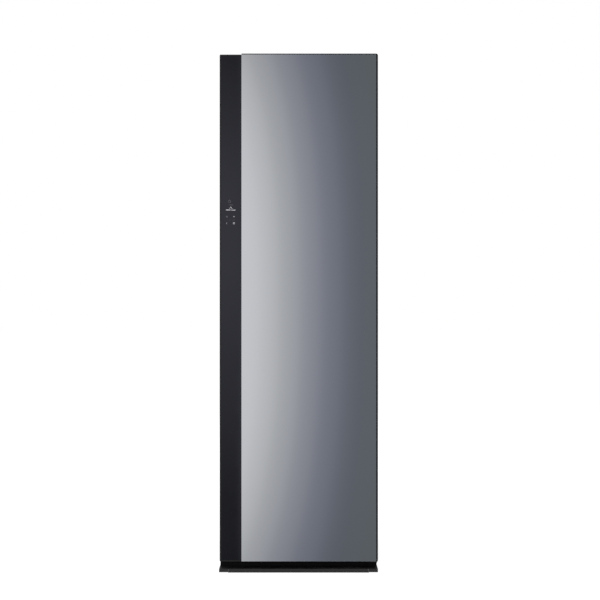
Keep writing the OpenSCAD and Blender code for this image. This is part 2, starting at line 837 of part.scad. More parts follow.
// Louvred cover over the machine space
cover_rise = 14;
cover_drop = 40;
cover_r = 6;
cover_x = half_w - cover_side;
cover_z = [pan_top + cover_rise, floor_z - cover_drop];
louvre_n = 12;
louvre_in = 20;
module rear_cover() {
    pitch = (cover_z[1] - cover_z[0] - 2 * louvre_in) / louvre_n;
    louvre_z = cover_z[0] + louvre_in;
    color([0.25, 0.25, 0.27])
        difference() {
            facing(round_rect([-cover_x, cover_z[0]], [cover_x, cover_z[1]], cover_r), rear_y, back_y);
            block([-cover_x + door_wall, rear_y - past, cover_z[0] + door_wall],
                  [cover_x - door_wall, back_y - door_wall, cover_z[1] - door_wall]);
            for (i = [0:louvre_n - 1], s = [-1, 1])
                block([s * cover_x / 2 - cover_x / 3, rear_y, louvre_z + (i + 0.3) * pitch],
                      [s * cover_x / 2 + cover_x / 3, back_y + past, louvre_z + (i + 0.7) * pitch]);
        }
}

// Gland for the mains cord
cord_r = 4;
module cord_gland() {
    color([0.1, 0.1, 0.1])
        difference() {
            union() {
                rod_y(gland_x, gland_z, gland_r, rear_y - fold, rear_y + join);
                rod_y(gland_x, gland_z, 1.4 * gland_r, rear_y, rear_y + cover_d / 2);
                rod_y(gland_x, gland_z, 0.8 * gland_r, rear_y, back_y);
            }
            rod_y(gland_x, gland_z, cord_r, rear_y - fold - past, back_y + past);
        }
}

// Foam behind the side liners and the back liner
module insulation() {
    foam_y0 = flange_y + fold;
    color("khaki") {
        for (s = [-1, 1])
            block([s > 0 ? in_w + liner_t : -half_w + 2 * sheet + sheet, foam_y0, deck_z],
                  [s > 0 ? half_w - 3 * sheet : -in_w - liner_t, rear_y - fold, ceil_z]);
        block([-in_w + slip, in_back + liner_t, floor_z], [in_w - slip, rear_y - sheet, ceil_z]);
    }
}

// ---------------------------------------------------------------- chamber

rail_z = floor_z + shelf_z;
rail_h = 8;

// Side liner of the tank bay and the chamber, with the rail that carries the shelf
module chamber_side_right() {
    mid = (flange_y + in_back) / 2;
    color("white") {
        block([in_w, flange_y, deck_z], [in_w + liner_t, in_back + liner_t, ceil_z]);
        for (y = [[flange_y + field_gap, mid - field_gap / 2], [mid + field_gap / 2, in_back - field_gap]])
            sideways(round_rect([y[0], rail_z + 2 * field_gap], [y[1], ceil_z - field_gap], field_r),
                     in_w - field_t, in_w + join);
        sideways(round_rect([-shelf_d / 2, rail_z - rail_h], [shelf_d / 2, rail_z], 3),
                 in_w - rail_w, in_w + join);
    }
}

module chamber_side_left() {
    color("white") other_side() chamber_side_right();
}

module chamber_back() {
    x0 = duct_w / 2 + field_gap;
    color("white") {
        block([-in_w, in_back, floor_z], [in_w, in_back + liner_t, ceil_z]);
        for (s = [0, 1])
            mirror([s, 0, 0])
                facing(round_rect([x0, rail_z + 2 * field_gap], [in_w - field_gap, ceil_z - field_gap],
                                  field_r), in_back - field_t, in_back + join);
    }
}

// Ceiling with the window that the moving hanger's stem passes through
hook_r = 9;
window_x = throw + hook_r + 4;
window_y = hook_r + 4;
lamp_w = 120;
lamp_l = 30;
lamp_y = -165;
module chamber_ceiling() {
    color("white")
        difference() {
            block([-in_w, flange_y + fold, ceil_z], [in_w, in_back + liner_t, ceil_z + ceiling_t]);
            upright(round_rect([-window_x, -window_y], [window_x, window_y], 5),
                    ceil_z - past, ceil_z + ceiling_t + past);
        }
}

module lamp_lens() {
    color("lightyellow")
        upright(round_rect([-lamp_w / 2, lamp_y - lamp_l / 2], [lamp_w / 2, lamp_y + lamp_l / 2], 8),
                ceil_z - 6, ceil_z);
}

// Where the filters, the aroma case, the nozzle and the grille sit in the floor
side_room = 53;                           // distance of the filters from the side walls
front_room = 16;                          // distance of the filters from the tank bay
back_room = 26;                           // distance of the grille from the chamber's back
lint_x = in_w - side_room - lint_w / 2;
lint_y = bay_back + front_room + lint_l / 2;
aroma_l = 40;
aroma_x = -in_w + side_room + aroma_w / 2;
aroma_y = bay_back + front_room + aroma_l / 2;
vent_y = in_back - back_room - vent_l / 2;
nozzle_x = (aroma_x + aroma_w / 2 + lint_x - lint_w / 2) / 2;
nozzle_r = 8;

// Rectangle of half sizes about a point, as a block from z0 to z1
module plug(x, y, w, l, z0, z1) {
    block([x - w / 2, y - l / 2, z0], [x + w / 2, y + l / 2, z1]);
}

// Floor moulding with its pockets and a low kerb along its front
kerb_h = 4;
module chamber_floor() {
    z0 = floor_z - floor_t;
    kerb_y = flange_y + sheet;
    color("whitesmoke")
        difference() {
            union() {
                block([-in_w, kerb_y, z0], [in_w, in_back + liner_t, floor_z]);
                sideways([[kerb_y, floor_z - join], [kerb_y, floor_z + kerb_h],
                          [kerb_y + kerb_h, floor_z + kerb_h], [kerb_y + 3 * kerb_h, floor_z - join]],
                         -in_w, in_w);
            }
            plug(lint_x, lint_y, lint_w + 2 * slip, lint_l + 2 * slip, z0 - past, floor_z + past);
            plug(aroma_x, aroma_y, aroma_w + 2 * slip, aroma_l + 2 * slip, z0 - past, floor_z + past);
            plug(0, vent_y, vent_w, vent_l, z0 - past, floor_z + past);
            rod_z(nozzle_x, lint_y, nozzle_r + fit_gap, z0 - past, floor_z + past);
        }
}

// Tank bay: a deck and a back wall folded from one sheet
deck_t = 4;
rib_h = 10;
module tank_bay() {
    color("whitesmoke") {
        block([-in_w, flange_y + fold, deck_z - deck_t], [in_w, bay_back, deck_z]);
        block([-in_w, bay_back - liner_t, deck_z - join], [in_w, bay_back, floor_z - floor_t]);
        block([-liner_t, flange_y + tank_in, deck_z - join], [liner_t, bay_back - join, deck_z + rib_h]);
    }
}

// Cover of the air duct on the chamber's back, with a row of outlets
duct_w = 110;
duct_d = 15;
duct_r = 10;
duct_rise = 160;                          // height of the duct's foot above the floor
duct_h = 740;
duct_z = [floor_z + duct_rise, floor_z + duct_rise + duct_h];
outlet_n = 9;
outlet_r = 4;
module duct_cover() {
    pitch = duct_h / outlet_n;
    outlet_h = 10;
    color("whitesmoke")
        difference() {
            facing(round_rect([-duct_w / 2, duct_z[0]], [duct_w / 2, duct_z[1]], duct_r),
                   in_back - duct_d, in_back);
            block([-duct_w / 2 + liner_t, in_back - duct_d + liner_t, duct_z[0] + liner_t],
                  [duct_w / 2 - liner_t, in_back + past, duct_z[1] - liner_t]);
            for (i = [0:outlet_n - 1])
                facing(round_rect([-duct_w / 3, duct_z[0] + (i + 0.5) * pitch - outlet_h / 2],
                                  [duct_w / 3, duct_z[0] + (i + 0.5) * pitch + outlet_h / 2], outlet_r),
                       in_back - duct_d - past, in_back - duct_d / 2);
        }
    color("whitesmoke")
        for (i = [0:outlet_n - 1])
            translate([0, 0, duct_z[0] + (i + 0.5) * pitch + outlet_h / 2])
                sideways([[in_back - duct_d + join, 0], [in_back - duct_d - liner_t, 0],
                          [in_back - duct_d - liner_t, liner_t], [in_back - duct_d + join, 3 * liner_t]],
                         -duct_w / 3, duct_w / 3);
}

// Steam grille: a flange on the floor and slanted blades across its opening
blade_tilt = 28;
blade_t = 2;
module steam_grille() {
    body_w = vent_w - 2 * slip;
    body_l = vent_l - 2 * slip;
    wall = 3;
    pitch = (body_w - 2 * wall) / vent_n;
    color("lightgray") {
        difference() {
            union() {
                plug(0, vent_y, vent_w + 2 * flange_rim, vent_l + 2 * flange_rim,
                     floor_z, floor_z + flange_t);
                plug(0, vent_y, body_w, body_l, floor_z - floor_t, floor_z + join);
            }
            plug(0, vent_y, body_w - 2 * wall, body_l - 2 * wall, floor_z - floor_t - past,
                 floor_z + flange_t + past);
        }
        for (i = [0:vent_n - 1])
            translate([-body_w / 2 + wall + (i + 0.5) * pitch, vent_y, floor_z - floor_t / 2 + flange_t / 2])
                rotate([0, blade_tilt, 0])
                    cube([blade_t, body_l - 2 * wall + 2 * join, floor_t], center = true);
    }
}

// Slatted shelf with a bull-nosed front bar
module shelf() {
    z1 = rail_z + shelf_t;
    reach = in_w - rail_w / 2;
    rim_w = 16;
    span = shelf_d - 2 * rim_w;
    color("lightgray") {
        difference() {
            upright(round_rect([-reach, -shelf_d / 2], [reach, shelf_d / 2], 12), rail_z, z1);
            block([-reach + rim_w, -shelf_d / 2 + rim_w, rail_z - past],
                  [reach - rim_w, shelf_d / 2 - rim_w, z1 + past]);
        }
        for (i = [0:slat_n - 1])
            block([-reach + rim_w - join, -span / 2 + (i + 0.5) * span / slat_n - slat_w / 2, rail_z + join],
                  [reach - rim_w + join, -span / 2 + (i + 0.5) * span / slat_n + slat_w / 2, z1 - join]);
    }
}

// Lint filter: a flange with a finger tab over a basket with windows
module lint_filter() {
    z0 = floor_z - lint_deep;
    wall = 2.5;
    window_n = 6;
    step = (lint_w - wall) / window_n;
    color("dimgray")
        difference() {
            union() {
                plug(lint_x, lint_y, lint_w + 2 * flange_rim, lint_l + 2 * flange_rim,
                     floor_z, floor_z + flange_t);
                plug(lint_x, lint_y, lint_w, lint_l, z0, floor_z + join);
                plug(lint_x, lint_y, lint_w / 3, 6, floor_z + join, floor_z + 3 * flange_t);
            }
            for (i = [0:window_n - 1])
                block([lint_x - lint_w / 2 + wall + i * step, lint_y - lint_l / 2 - past, z0 + wall],
                      [lint_x - lint_w / 2 + (i + 1) * step, lint_y + lint_l / 2 + past,
                       floor_z - floor_t - wall]);
        }
}

// Aroma case: a small box with a slotted lid
module aroma_case() {
    slot_n = 5;
    step = (aroma_w - 10) / slot_n;
    color("gray")
        difference() {
            union() {
                plug(aroma_x, aroma_y, aroma_w + 2 * flange_rim, aroma_l + 2 * flange_rim,
                     floor_z, floor_z + flange_t);
                plug(aroma_x, aroma_y, aroma_w, aroma_l, floor_z - aroma_deep, floor_z + join);
            }
            for (i = [0:slot_n - 1])
                plug(aroma_x - aroma_w / 2 + 5 + (i + 0.5) * step, aroma_y, step / 3, aroma_l * 0.7,
                     floor_z - aroma_deep / 2, floor_z + flange_t + past);
        }
}

// ---------------------------------------------------------------- moving hanger

bar_z = ceil_z - bar_drop;
bar_half = in_w - throw - 7;
guide_x = bar_half - throw - 5 - guide_w / 2;
yoke_z = ceil_z + ceiling_t + 4;
yoke_t = 4;
yoke_half = 20;
slot_half = crank_pin_r + 0.2;
crank_z = yoke_z + yoke_t + 2;

// Bar with its hook grooves, the stem through the ceiling and the slotted yoke
module hanger_bar() {
    groove_deep = 1.5;
    color("silver") {
        difference() {
            rod_x(0, bar_z, bar_r, -bar_half, bar_half);
            for (i = [0:groove_n - 1])
                translate([(i - (groove_n - 1) / 2) * groove_pitch, 0, bar_z])
                    rotate([0, 90, 0])
                        rotate_extrude()
                            polygon([[bar_r - groove_deep, -groove_w / 2], [bar_r + past, -groove_w / 2],
                                     [bar_r + past, groove_w / 2], [bar_r - groove_deep, groove_w / 2]]);
        }
        rod_z(0, 0, hook_r, bar_z, yoke_z + join);
        difference() {
            upright(round_rect([-yoke_half, -hook_r - 4], [yoke_half, crank_y + throw + 20], 6),
                    yoke_z, yoke_z + yoke_t);
            upright(round_rect([-slot_half, crank_y - throw - slot_half],
                               [slot_half, crank_y + throw + slot_half], slot_half - 0.1),
                    yoke_z - past, yoke_z + yoke_t + past);
        }
    }
}

// Two brackets under the ceiling that the bar slides through
module bar_guides() {
    half = 1.8 * bar_r;
    color("dimgray")
        difference() {
            for (s = [-1, 1]) {
                block([s * guide_x - guide_w / 2, -half, bar_z], [s * guide_x + guide_w / 2, half, ceil_z]);
                rod_x(0, bar_z, half, s * guide_x - guide_w / 2, s * guide_x + guide_w / 2);
                block([s * guide_x - 1.4 * guide_w, -1.5 * half, ceil_z - 5],
                      [s * guide_x + 1.4 * guide_w, 1.5 * half, ceil_z]);
            }
            rod_x(0, bar_z, bar_r + fit_gap, -in_w, in_w);
        }
}

// Crank disc: hub and shaft above, counterweight cut-outs, and the pin over the yoke's slot
crank_shaft_r = 6;
bracket_z = crank_z + crank_t + 2;
bracket_t = 3;
shaft_l = 12;
module crank_disc() {
    color("goldenrod")
        difference() {
            union() {
                rod_z(0, crank_y, crank_r, crank_z, crank_z + crank_t);
                rod_z(0, crank_y, 2 * crank_shaft_r, crank_z + crank_t - join, bracket_z);
                rod_z(0, crank_y, crank_shaft_r, bracket_z - join, bracket_z + shaft_l);
                rod_z(0, crank_y + throw, crank_pin_r, yoke_z + yoke_t + slip, crank_z + join);
            }
            for (a = [-60, 60])
                translate([0, crank_y, 0]) rotate([0, 0, a])
                    rod_z(0, throw + 2, crank_pin_r, crank_z - past, crank_z + crank_t + past);
        }
}

// Gear motor on a bridge that stands on the ceiling over the crank
bridge_x = crank_r + throw + 14;
module drive_motor() {
    foot = 16;
    z0 = ceil_z + ceiling_t;
    color("gray")
        difference() {
            union() {
                block([-bridge_x, crank_y - crank_r, bracket_z], [bridge_x, crank_y + crank_r,
                       bracket_z + bracket_t]);
                for (s = [-1, 1]) {
                    block([s * bridge_x - bracket_t / 2, crank_y - crank_r, z0],
                          [s * bridge_x + bracket_t / 2, crank_y + crank_r, bracket_z + bracket_t]);
                    block([s * (bridge_x + foot / 2) - foot / 2, crank_y - crank_r, z0],
                          [s * (bridge_x + foot / 2) + foot / 2, crank_y + crank_r, z0 + bracket_t]);
                }
                rod_z(0, crank_y, motor_r, bracket_z, bracket_z + motor_l);
                rod_z(0, crank_y, motor_r / 3, bracket_z, bracket_z + motor_l + 6);
            }
            rod_z(0, crank_y, crank_shaft_r + fit_gap, bracket_z - past, bracket_z + shaft_l + slip);
        }
}

// ---------------------------------------------------------------- tanks

tank_x = [liner_t + tank_gap, in_w - tank_gap];
tank_y = [flange_y + tank_in, flange_y + tank_in + tank_d];
tank_r = 20;
lip_drop = 30;
cap_h = 12;
grip_t = 4;
grip_drop = 9;         // how far the grip lip hangs down in front of the pocket
pocket_h = 44;         // hand pocket behind the grip lip
pocket_d = 26;
pocket_r = 12;
bead_h = 6;            // raised beads across the tank's front
bead_t = 1.5;

// Water tank on the right of the bay: a hollow body with a hand pocket under a grip lip, two beads
// across its front and a filler cap
module tank(tint) {
    z1 = deck_z + tank_h;
    lip_z = z1 - lip_drop;
    inner = [tank_wall, tank_wall];
    mid = (tank_x[0] + tank_x[1]) / 2;
    pocket = [[tank_x[0] + 2 * tank_r, lip_z - pocket_h], [tank_x[1] - 2 * tank_r, lip_z]];
    color(tint) {
        difference() {
            union() {
                difference() {
                    upright(round_rect([tank_x[0], tank_y[0]], [tank_x[1], tank_y[1]], tank_r), deck_z, z1);
                    upright(round_rect([tank_x[0], tank_y[0]] + inner, [tank_x[1], tank_y[1]] - inner,
                                       tank_r - tank_wall), deck_z + tank_wall, z1 - tank_wall);
                }
                facing(round_rect(pocket[0] - inner, pocket[1] + inner, pocket_r + tank_wall),
                       tank_y[0] + tank_wall / 2, tank_y[0] + pocket_d + tank_wall);
            }
            facing(round_rect(pocket[0], pocket[1], pocket_r), tank_y[0] - past, tank_y[0] + pocket_d);
        }
        sideways([[tank_y[0] + join, lip_z], [tank_y[0] - tank_lip + grip_t, lip_z],
                  [tank_y[0] - tank_lip + grip_t, lip_z - grip_drop],
                  [tank_y[0] - tank_lip, lip_z - grip_drop], [tank_y[0] - tank_lip, lip_z + grip_t],
                  [tank_y[0] + join, lip_z + 2 * grip_t]], pocket[0].x, pocket[1].x);
        for (z = [deck_z + 3 * tank_r, lip_z - pocket_h - 3 * tank_r])
            facing(round_rect([tank_x[0] + tank_r, z], [tank_x[1] - tank_r, z + bead_h], bead_h / 2 - join),
                   tank_y[0] - bead_t, tank_y[0] + join);
        rod_z(mid, (tank_y[0] + tank_y[1]) / 2, tank_cap_r + cap_h / 2, z1 - join, z1 + cap_h / 4);
        rod_z(mid, (tank_y[0] + tank_y[1]) / 2, tank_cap_r, z1, z1 + cap_h);
    }
}

module supply_tank() { other_side() tank("lightblue"); }
module drain_tank() { tank("lightgray"); }

// ---------------------------------------------------------------- machine space

mach_z = lip_h + pan_t;
grommet_r = 9;
grommet_out = 12;                         // distance of a grommet from the shell
mach_gap = 16;                            // gap between two machines, and beside a wall
comp_x = in_w - mach_gap - grommet_r - grommet_out - comp_r;
comp_y = (bay_back + pan_y1) / 2;

// Compressor: a domed shell on a base plate with three rubber grommets, and its accumulator
module compressor() {
    dome = comp_r / 3;
    foot_h = 14;
    foot_t = 3;
    flask_r = 18;      // suction accumulator behind the shell
    flask_gap = 6;
    flask_rise = 28;
    pipe_r = 5;
    z0 = mach_z + foot_h;
    color([0.15, 0.15, 0.16])
        translate([comp_x, comp_y, 0]) {
            translate([0, 0, z0])
                rotate_extrude()
                    polygon(concat([[0, 0], [comp_r, 0], [comp_r, comp_h - dome]],
                                   [for (a = [15:15:90])
                                    [comp_r * cos(a), comp_h - dome + dome * sin(a)]]));
            for (a = [30, 150, 270])
                rotate([0, 0, a]) {
                    rod_z(comp_r + grommet_out, 0, grommet_r, mach_z, z0 + foot_t);
                    block([0, -grommet_r, z0], [comp_r + grommet_out, grommet_r, z0 + foot_t]);
                }
            translate([0, comp_r + flask_gap, z0]) {
                rod_z(0, 0, flask_r, flask_rise, comp_h - flask_rise);
                block([-pipe_r, -flask_gap - join, 2 * flask_rise],
                      [pipe_r, 0, 2 * flask_rise + 2 * pipe_r]);
            }
            rod_z(0, 0, pipe_r, z0 + comp_h - join, z0 + comp_h + flask_rise);
        }
}

// Heat exchanger: fins on rows of tubes between two end plates
tube_n = 6;
tube_r = 5;
tube_out = 8;                             // reach of the tubes' bends past the end plates
module heat_exchanger(y0) {
    x1 = coil_x0 + coil_w;
    plate = 2;
    fin = 0.8;
    fin_gap = 6;
    gap = (coil_w - 2 * plate) / (fin_n + 1);
    row = coil_h / tube_n;
    for (x = [coil_x0, x1 - plate])
        block([x, y0, mach_z], [x + plate, y0 + coil_d, mach_z + coil_h]);
    for (i = [1:fin_n])
        block([coil_x0 + plate + i * gap - fin / 2, y0 + 1, mach_z + fin_gap],
              [coil_x0 + plate + i * gap + fin / 2, y0 + coil_d - 1, mach_z + coil_h - fin_gap]);
    for (i = [0:tube_n - 1])
        rod_x(y0 + coil_d / 2 + (i % 2 == 0 ? tube_out : -tube_out), mach_z + (i + 0.5) * row, tube_r,
              coil_x0 - tube_out, x1 + tube_out);
}

module evaporator() {
    color("lightsteelblue") heat_exchanger(coil_y);
}
module condenser() {
    color("lightsteelblue") heat_exchanger(coil_y + coil_d + mach_gap);
}

// Blower: scroll housing round the wheel, its outlet up to the grille, and its motor
scroll_gap = 8;
scroll_grow = 22;
house_wall = 2.5;
outlet_w = 50;
scroll_r = wheel_r + scroll_gap + scroll_grow;
blow_x = -in_w + mach_gap + house_wall + scroll_r;
blow_rise = 40;                           // height of the scroll above the pan
blow_z = mach_z + scroll_r + house_wall + blow_rise;
wheel_end = 6;                            // gap beside the wheel, and the housing's wall
blow_y0 = vent_y - wheel_w / 2 - wheel_end;
blow_y1 = vent_y + wheel_w / 2 + wheel_end;
blow_motor_l = 34;
blow_motor_r = 26;

// The heat exchangers fill the width between the scroll and the compressor
coil_x0 = blow_x + scroll_r - scroll_grow / 2 + house_wall + mach_gap + tube_out;
coil_w = comp_x - comp_r - mach_gap - tube_out - coil_x0;
coil_gap = 116;                           // distance of the coils from the tank bay
coil_y = bay_back + coil_gap;

// Scroll's outline about the wheel's axis: the radius grows by scroll_grow over one turn
function scroll(w) = [for (a = [0:10:350])
    [blow_x, blow_z] + (scroll_r + w + scroll_grow * (a / 360 - 1)) * [cos(180 - a), sin(180 - a)]];
module scroll_space(w, y0, y1, top) {
    facing(scroll(w), y0, y1);
    block([blow_x - scroll_r - w, y0, blow_z], [blow_x - scroll_r + outlet_w + w, y1, top]);
}

module blower_housing() {
    top = floor_z - floor_t - slip;
    stand = 20;
    color([0.3, 0.3, 0.32])
        difference() {
            union() {
                scroll_space(house_wall, blow_y0, blow_y1, top);
                rod_y(blow_x, blow_z, blow_motor_r, blow_y1 - join, blow_y1 + blow_motor_l);
                block([blow_x - stand, blow_y0, mach_z],
                      [blow_x + stand, blow_y1, blow_z - wheel_r - scroll_gap]);
            }
            scroll_space(0, blow_y0 + house_wall, blow_y1 - house_wall, top + past);
            rod_y(blow_x, blow_z, 0.75 * wheel_r, blow_y0 - past, blow_y0 + house_wall + past);
            rod_y(blow_x, blow_z, shaft_r + fit_gap, blow_y1 - house_wall - past,
                  blow_y1 + blow_motor_l / 2);
        }
}

// Wheel with forward-curved blades between a back plate and a front ring
blade_deep = 9;
module blower_wheel() {
    y0 = vent_y - wheel_w / 2;
    y1 = vent_y + wheel_w / 2;
    plate = 2;
    chord = wheel_r - blade_deep;
    color("orange") {
        difference() {
            union() {
                rod_y(blow_x, blow_z, wheel_r, y1 - plate, y1);
                rod_y(blow_x, blow_z, wheel_r, y0, y0 + plate);
            }
            rod_y(blow_x, blow_z, chord, y0 - past, y0 + plate + past);
        }
        rod_y(blow_x, blow_z, 3 * shaft_r, y1 - 14, y1);
        rod_y(blow_x, blow_z, shaft_r, y1 - join, blow_y1 + blow_motor_l / 2 - slip);
        for (i = [0:blade_n - 1])
            translate([blow_x, 0, blow_z]) rotate([0, i * 360 / blade_n, 0])
                facing([[chord, -1], [chord + blade_deep / 2, -0.4], [wheel_r - 0.5, 2.6],
                        [wheel_r - 0.9, 3.9], [chord + blade_deep / 2, 0.8], [chord, 0.2]],
                       y0 + plate - join, y1 - plate + join);
    }
}

// Steam boiler with its nozzle through the chamber's floor
module steam_generator() {
    z0 = mach_z + 30;
    cap_h = 10;
    color("silver")
        translate([nozzle_x, lint_y, 0]) {
            translate([0, 0, z0])
                rotate_extrude()
                    polygon([[0, 0], [boiler_r - cap_h, 0], [boiler_r, cap_h], [boiler_r, boiler_h - cap_h],
                             [boiler_r - cap_h, boiler_h], [0, boiler_h]]);
            rod_z(0, 0, nozzle_r, z0 + boiler_h - join, floor_z + join);
            rod_z(0, 0, 1.8 * nozzle_r, floor_z, floor_z + flange_t);
            for (s = [-1, 1])
                block([s * boiler_r * 0.7 - 4, -10, mach_z], [s * boiler_r * 0.7 + 4, 10, z0 + 2 * cap_h]);
        }
}

// Pump that feeds the boiler
module water_pump() {
    can_r = 20;
    can_l = 70;
    head_r = 26;
    head_l = 18;
    x = nozzle_x + boiler_r + 2 * mach_gap;
    z = mach_z + 2 * can_r;
    color("black") {
        rod_x(lint_y, z, can_r, x, x + can_l);
        rod_x(lint_y, z, head_r, x + head_l / 2, x + 1.5 * head_l);
        block([x + 1, lint_y - can_r, mach_z], [x + can_l - 1, lint_y + can_r, z - can_r / 2]);
        rod_z(x + head_l, lint_y, can_r / 3, z, z + 2 * can_r);
    }
}

door_mirror();
mirror_bezel();
control_glass();
strip_tray();
display_module();
door_frame();
door_core();
door_liner();
door_gasket();
grip_insert();
hinge_bush_upper();
hinge_bush_lower();
press_base();
press_plate();
press_latch();
hem_clip();
base_pan();
plinth_front();
corner_cap_left();
corner_cap_right();
foot_front_left();
foot_front_right();
foot_rear_left();
foot_rear_right();
hinge_upper();
hinge_lower();
side_panel_left();
side_panel_right();
top_panel();
back_panel();
front_header();
front_sill();
rear_cover();
cord_gland();
insulation();
chamber_side_left();
chamber_side_right();
chamber_back();
chamber_ceiling();
chamber_floor();
tank_bay();
duct_cover();
lamp_lens();
steam_grille();
shelf();
lint_filter();
aroma_case();
hanger_bar();
bar_guides();
crank_disc();
drive_motor();
supply_tank();
drain_tank();
compressor();
evaporator();
condenser();
blower_housing();
blower_wheel();
steam_generator();
water_pump();
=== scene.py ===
"""Dresses the clothes care steam cabinet: finishes, fine pieces, studio and camera."""

from __future__ import annotations

import json
import logging
import math
from dataclasses import dataclass, field
from enum import Enum
from typing import Any, Callable, Iterable, Sequence

import bmesh
import bpy
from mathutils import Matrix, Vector


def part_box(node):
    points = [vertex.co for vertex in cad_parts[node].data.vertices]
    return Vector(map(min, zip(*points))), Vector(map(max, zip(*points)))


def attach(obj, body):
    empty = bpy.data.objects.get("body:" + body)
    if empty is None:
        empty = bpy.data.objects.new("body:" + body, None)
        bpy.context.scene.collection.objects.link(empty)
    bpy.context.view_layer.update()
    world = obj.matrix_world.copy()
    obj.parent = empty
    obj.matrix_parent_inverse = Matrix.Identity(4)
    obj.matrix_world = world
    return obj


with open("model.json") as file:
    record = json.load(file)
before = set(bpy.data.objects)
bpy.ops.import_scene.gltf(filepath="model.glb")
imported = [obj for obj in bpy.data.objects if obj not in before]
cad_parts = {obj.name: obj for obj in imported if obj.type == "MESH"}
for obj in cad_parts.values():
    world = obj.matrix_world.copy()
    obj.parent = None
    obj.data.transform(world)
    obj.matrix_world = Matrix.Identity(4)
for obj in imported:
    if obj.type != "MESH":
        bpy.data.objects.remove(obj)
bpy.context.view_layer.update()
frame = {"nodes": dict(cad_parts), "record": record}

log = logging.getLogger("care_cabinet")

MM = 0.001
Point = tuple[float, float, float]
Flat = tuple[float, float]
Colour = tuple[float, float, float]
Socket = bpy.types.NodeSocket


# ---------------------------------------------------------------- node work


class Desk:
    """Adds, sets and joins the nodes of one tree."""

    def __init__(self, tree: bpy.types.NodeTree) -> None:
        """Keeps the tree to work on."""
        self.tree = tree

    def add(self, kind: str, *given: Any, **settings: Any) -> bpy.types.Node:
        """Adds one node.

        Args:
            kind: Blender's name of the node type, without the ShaderNode at its start.
            *given: Values or sockets for its first inputs.
            **settings: Properties of the node to set.

        Returns:
            The new node.
        """
        node = self.tree.nodes.new(kind if kind.startswith("Node") else "ShaderNode" + kind)
        for key, value in settings.items():
            setattr(node, key, value)
        for target, value in zip(node.inputs, given):
            self.feed(target, value)
        return node

    def feed(self, target: Socket, value: Any) -> None:
        """Joins a socket to the target, or sets the target's own value.

        Args:
            target: The input to feed.
            value: A socket, a number, a triple or a colour without its alpha.
        """
        if isinstance(value, Socket):
            self.tree.links.new(value, target)
        else:
            target.default_value = (*value, 1.0) if target.type == "RGBA" else value

    def join(self, node: bpy.types.Node, **given: Any) -> bpy.types.Node:
        """Feeds a node's named inputs.

        Args:
            node: The node.
            **given: Values or sockets; a space in an input's name is written as an underscore.

        Returns:
            The same node.
        """
        for name, value in given.items():
            self.feed(node.inputs[name.replace("_", " ")], value)
        return node

    def sum(self, operation: str, *values: Any) -> Socket:
        """Returns the result of one Math node of that operation on the values."""
        return self.add("Math", *values, operation=operation).outputs[0]

    def spread(self, value: Any, lo: float, hi: float, to_lo: Any, to_hi: Any) -> Socket:
        """Returns the value mapped from lo..hi to to_lo..to_hi, and held between them."""
        return self.add("MapRange", value, lo, hi, to_lo, to_hi).outputs[0]

    def blend(self, factor: Any, first: Any, second: Any, way: str = "MIX") -> Socket:
        """Returns two colours mixed by the factor."""
        node = self.join(self.add("Mix", data_type="RGBA", blend_type=way), Factor=factor, A=first, B=second)
        return next(s for s in node.outputs if s.type == "RGBA")

    def shade(self, colour: Any, swing: Any, amount: Any) -> Socket:
        """Returns a colour that swings lighter and darker by the amount, as swing goes from -1 to 1."""
        gain = self.sum("MULTIPLY_ADD", swing, amount, 1.0)
        return self.join(self.add("HueSaturation"), Value=gain, Color=colour).outputs[0]

    def place(self) -> Socket:
        """Returns the point's own place on the piece, in metres."""
        return self.add("TexCoord").outputs["Object"]

    def cells(self, scale: Any, feature: str) -> bpy.types.Node:
        """Returns a node that gives that many cells a metre."""
        return self.join(self.add("TexVoronoi", feature=feature), Vector=self.place(), Scale=scale)

    def noise(self, scale: Any, detail: float = 3.0, at: Any = None) -> Socket:
        """Returns a soft noise of that many cells a metre."""
        at = self.place() if at is None else at
        return self.join(self.add("TexNoise"), Vector=at, Scale=scale, Detail=detail).outputs[0]


Sockets = dict[str, Socket]


class Effect(Enum):
    """The surface effects that finishes are made of: each group's name, inputs and output."""

    TONE = ("slow_tone", ("Color", "Scale", "Amount"), "Color")
    WORN = ("worn_edge", ("Color", "Worn Color", "Width", "Amount"), "Color")
    # Settled dust on upward faces; a near-black dust colour makes it painted shade there.
    DUST = ("settled_dust", ("Color", "Dust Color", "Amount", "Floor Height"), "Color")
    GRAIN = ("moulded_grain", ("Scale", "Pebble"), "Height")
    DRAWN = ("drawn_lines", ("Stretch", "Scale"), "Height")
    HANDLED = ("handled_gloss", ("Roughness", "Swing", "Scale"), "Roughness")
    SPANGLE = ("zinc_spangle", ("Color", "Scale", "Contrast"), "Color")


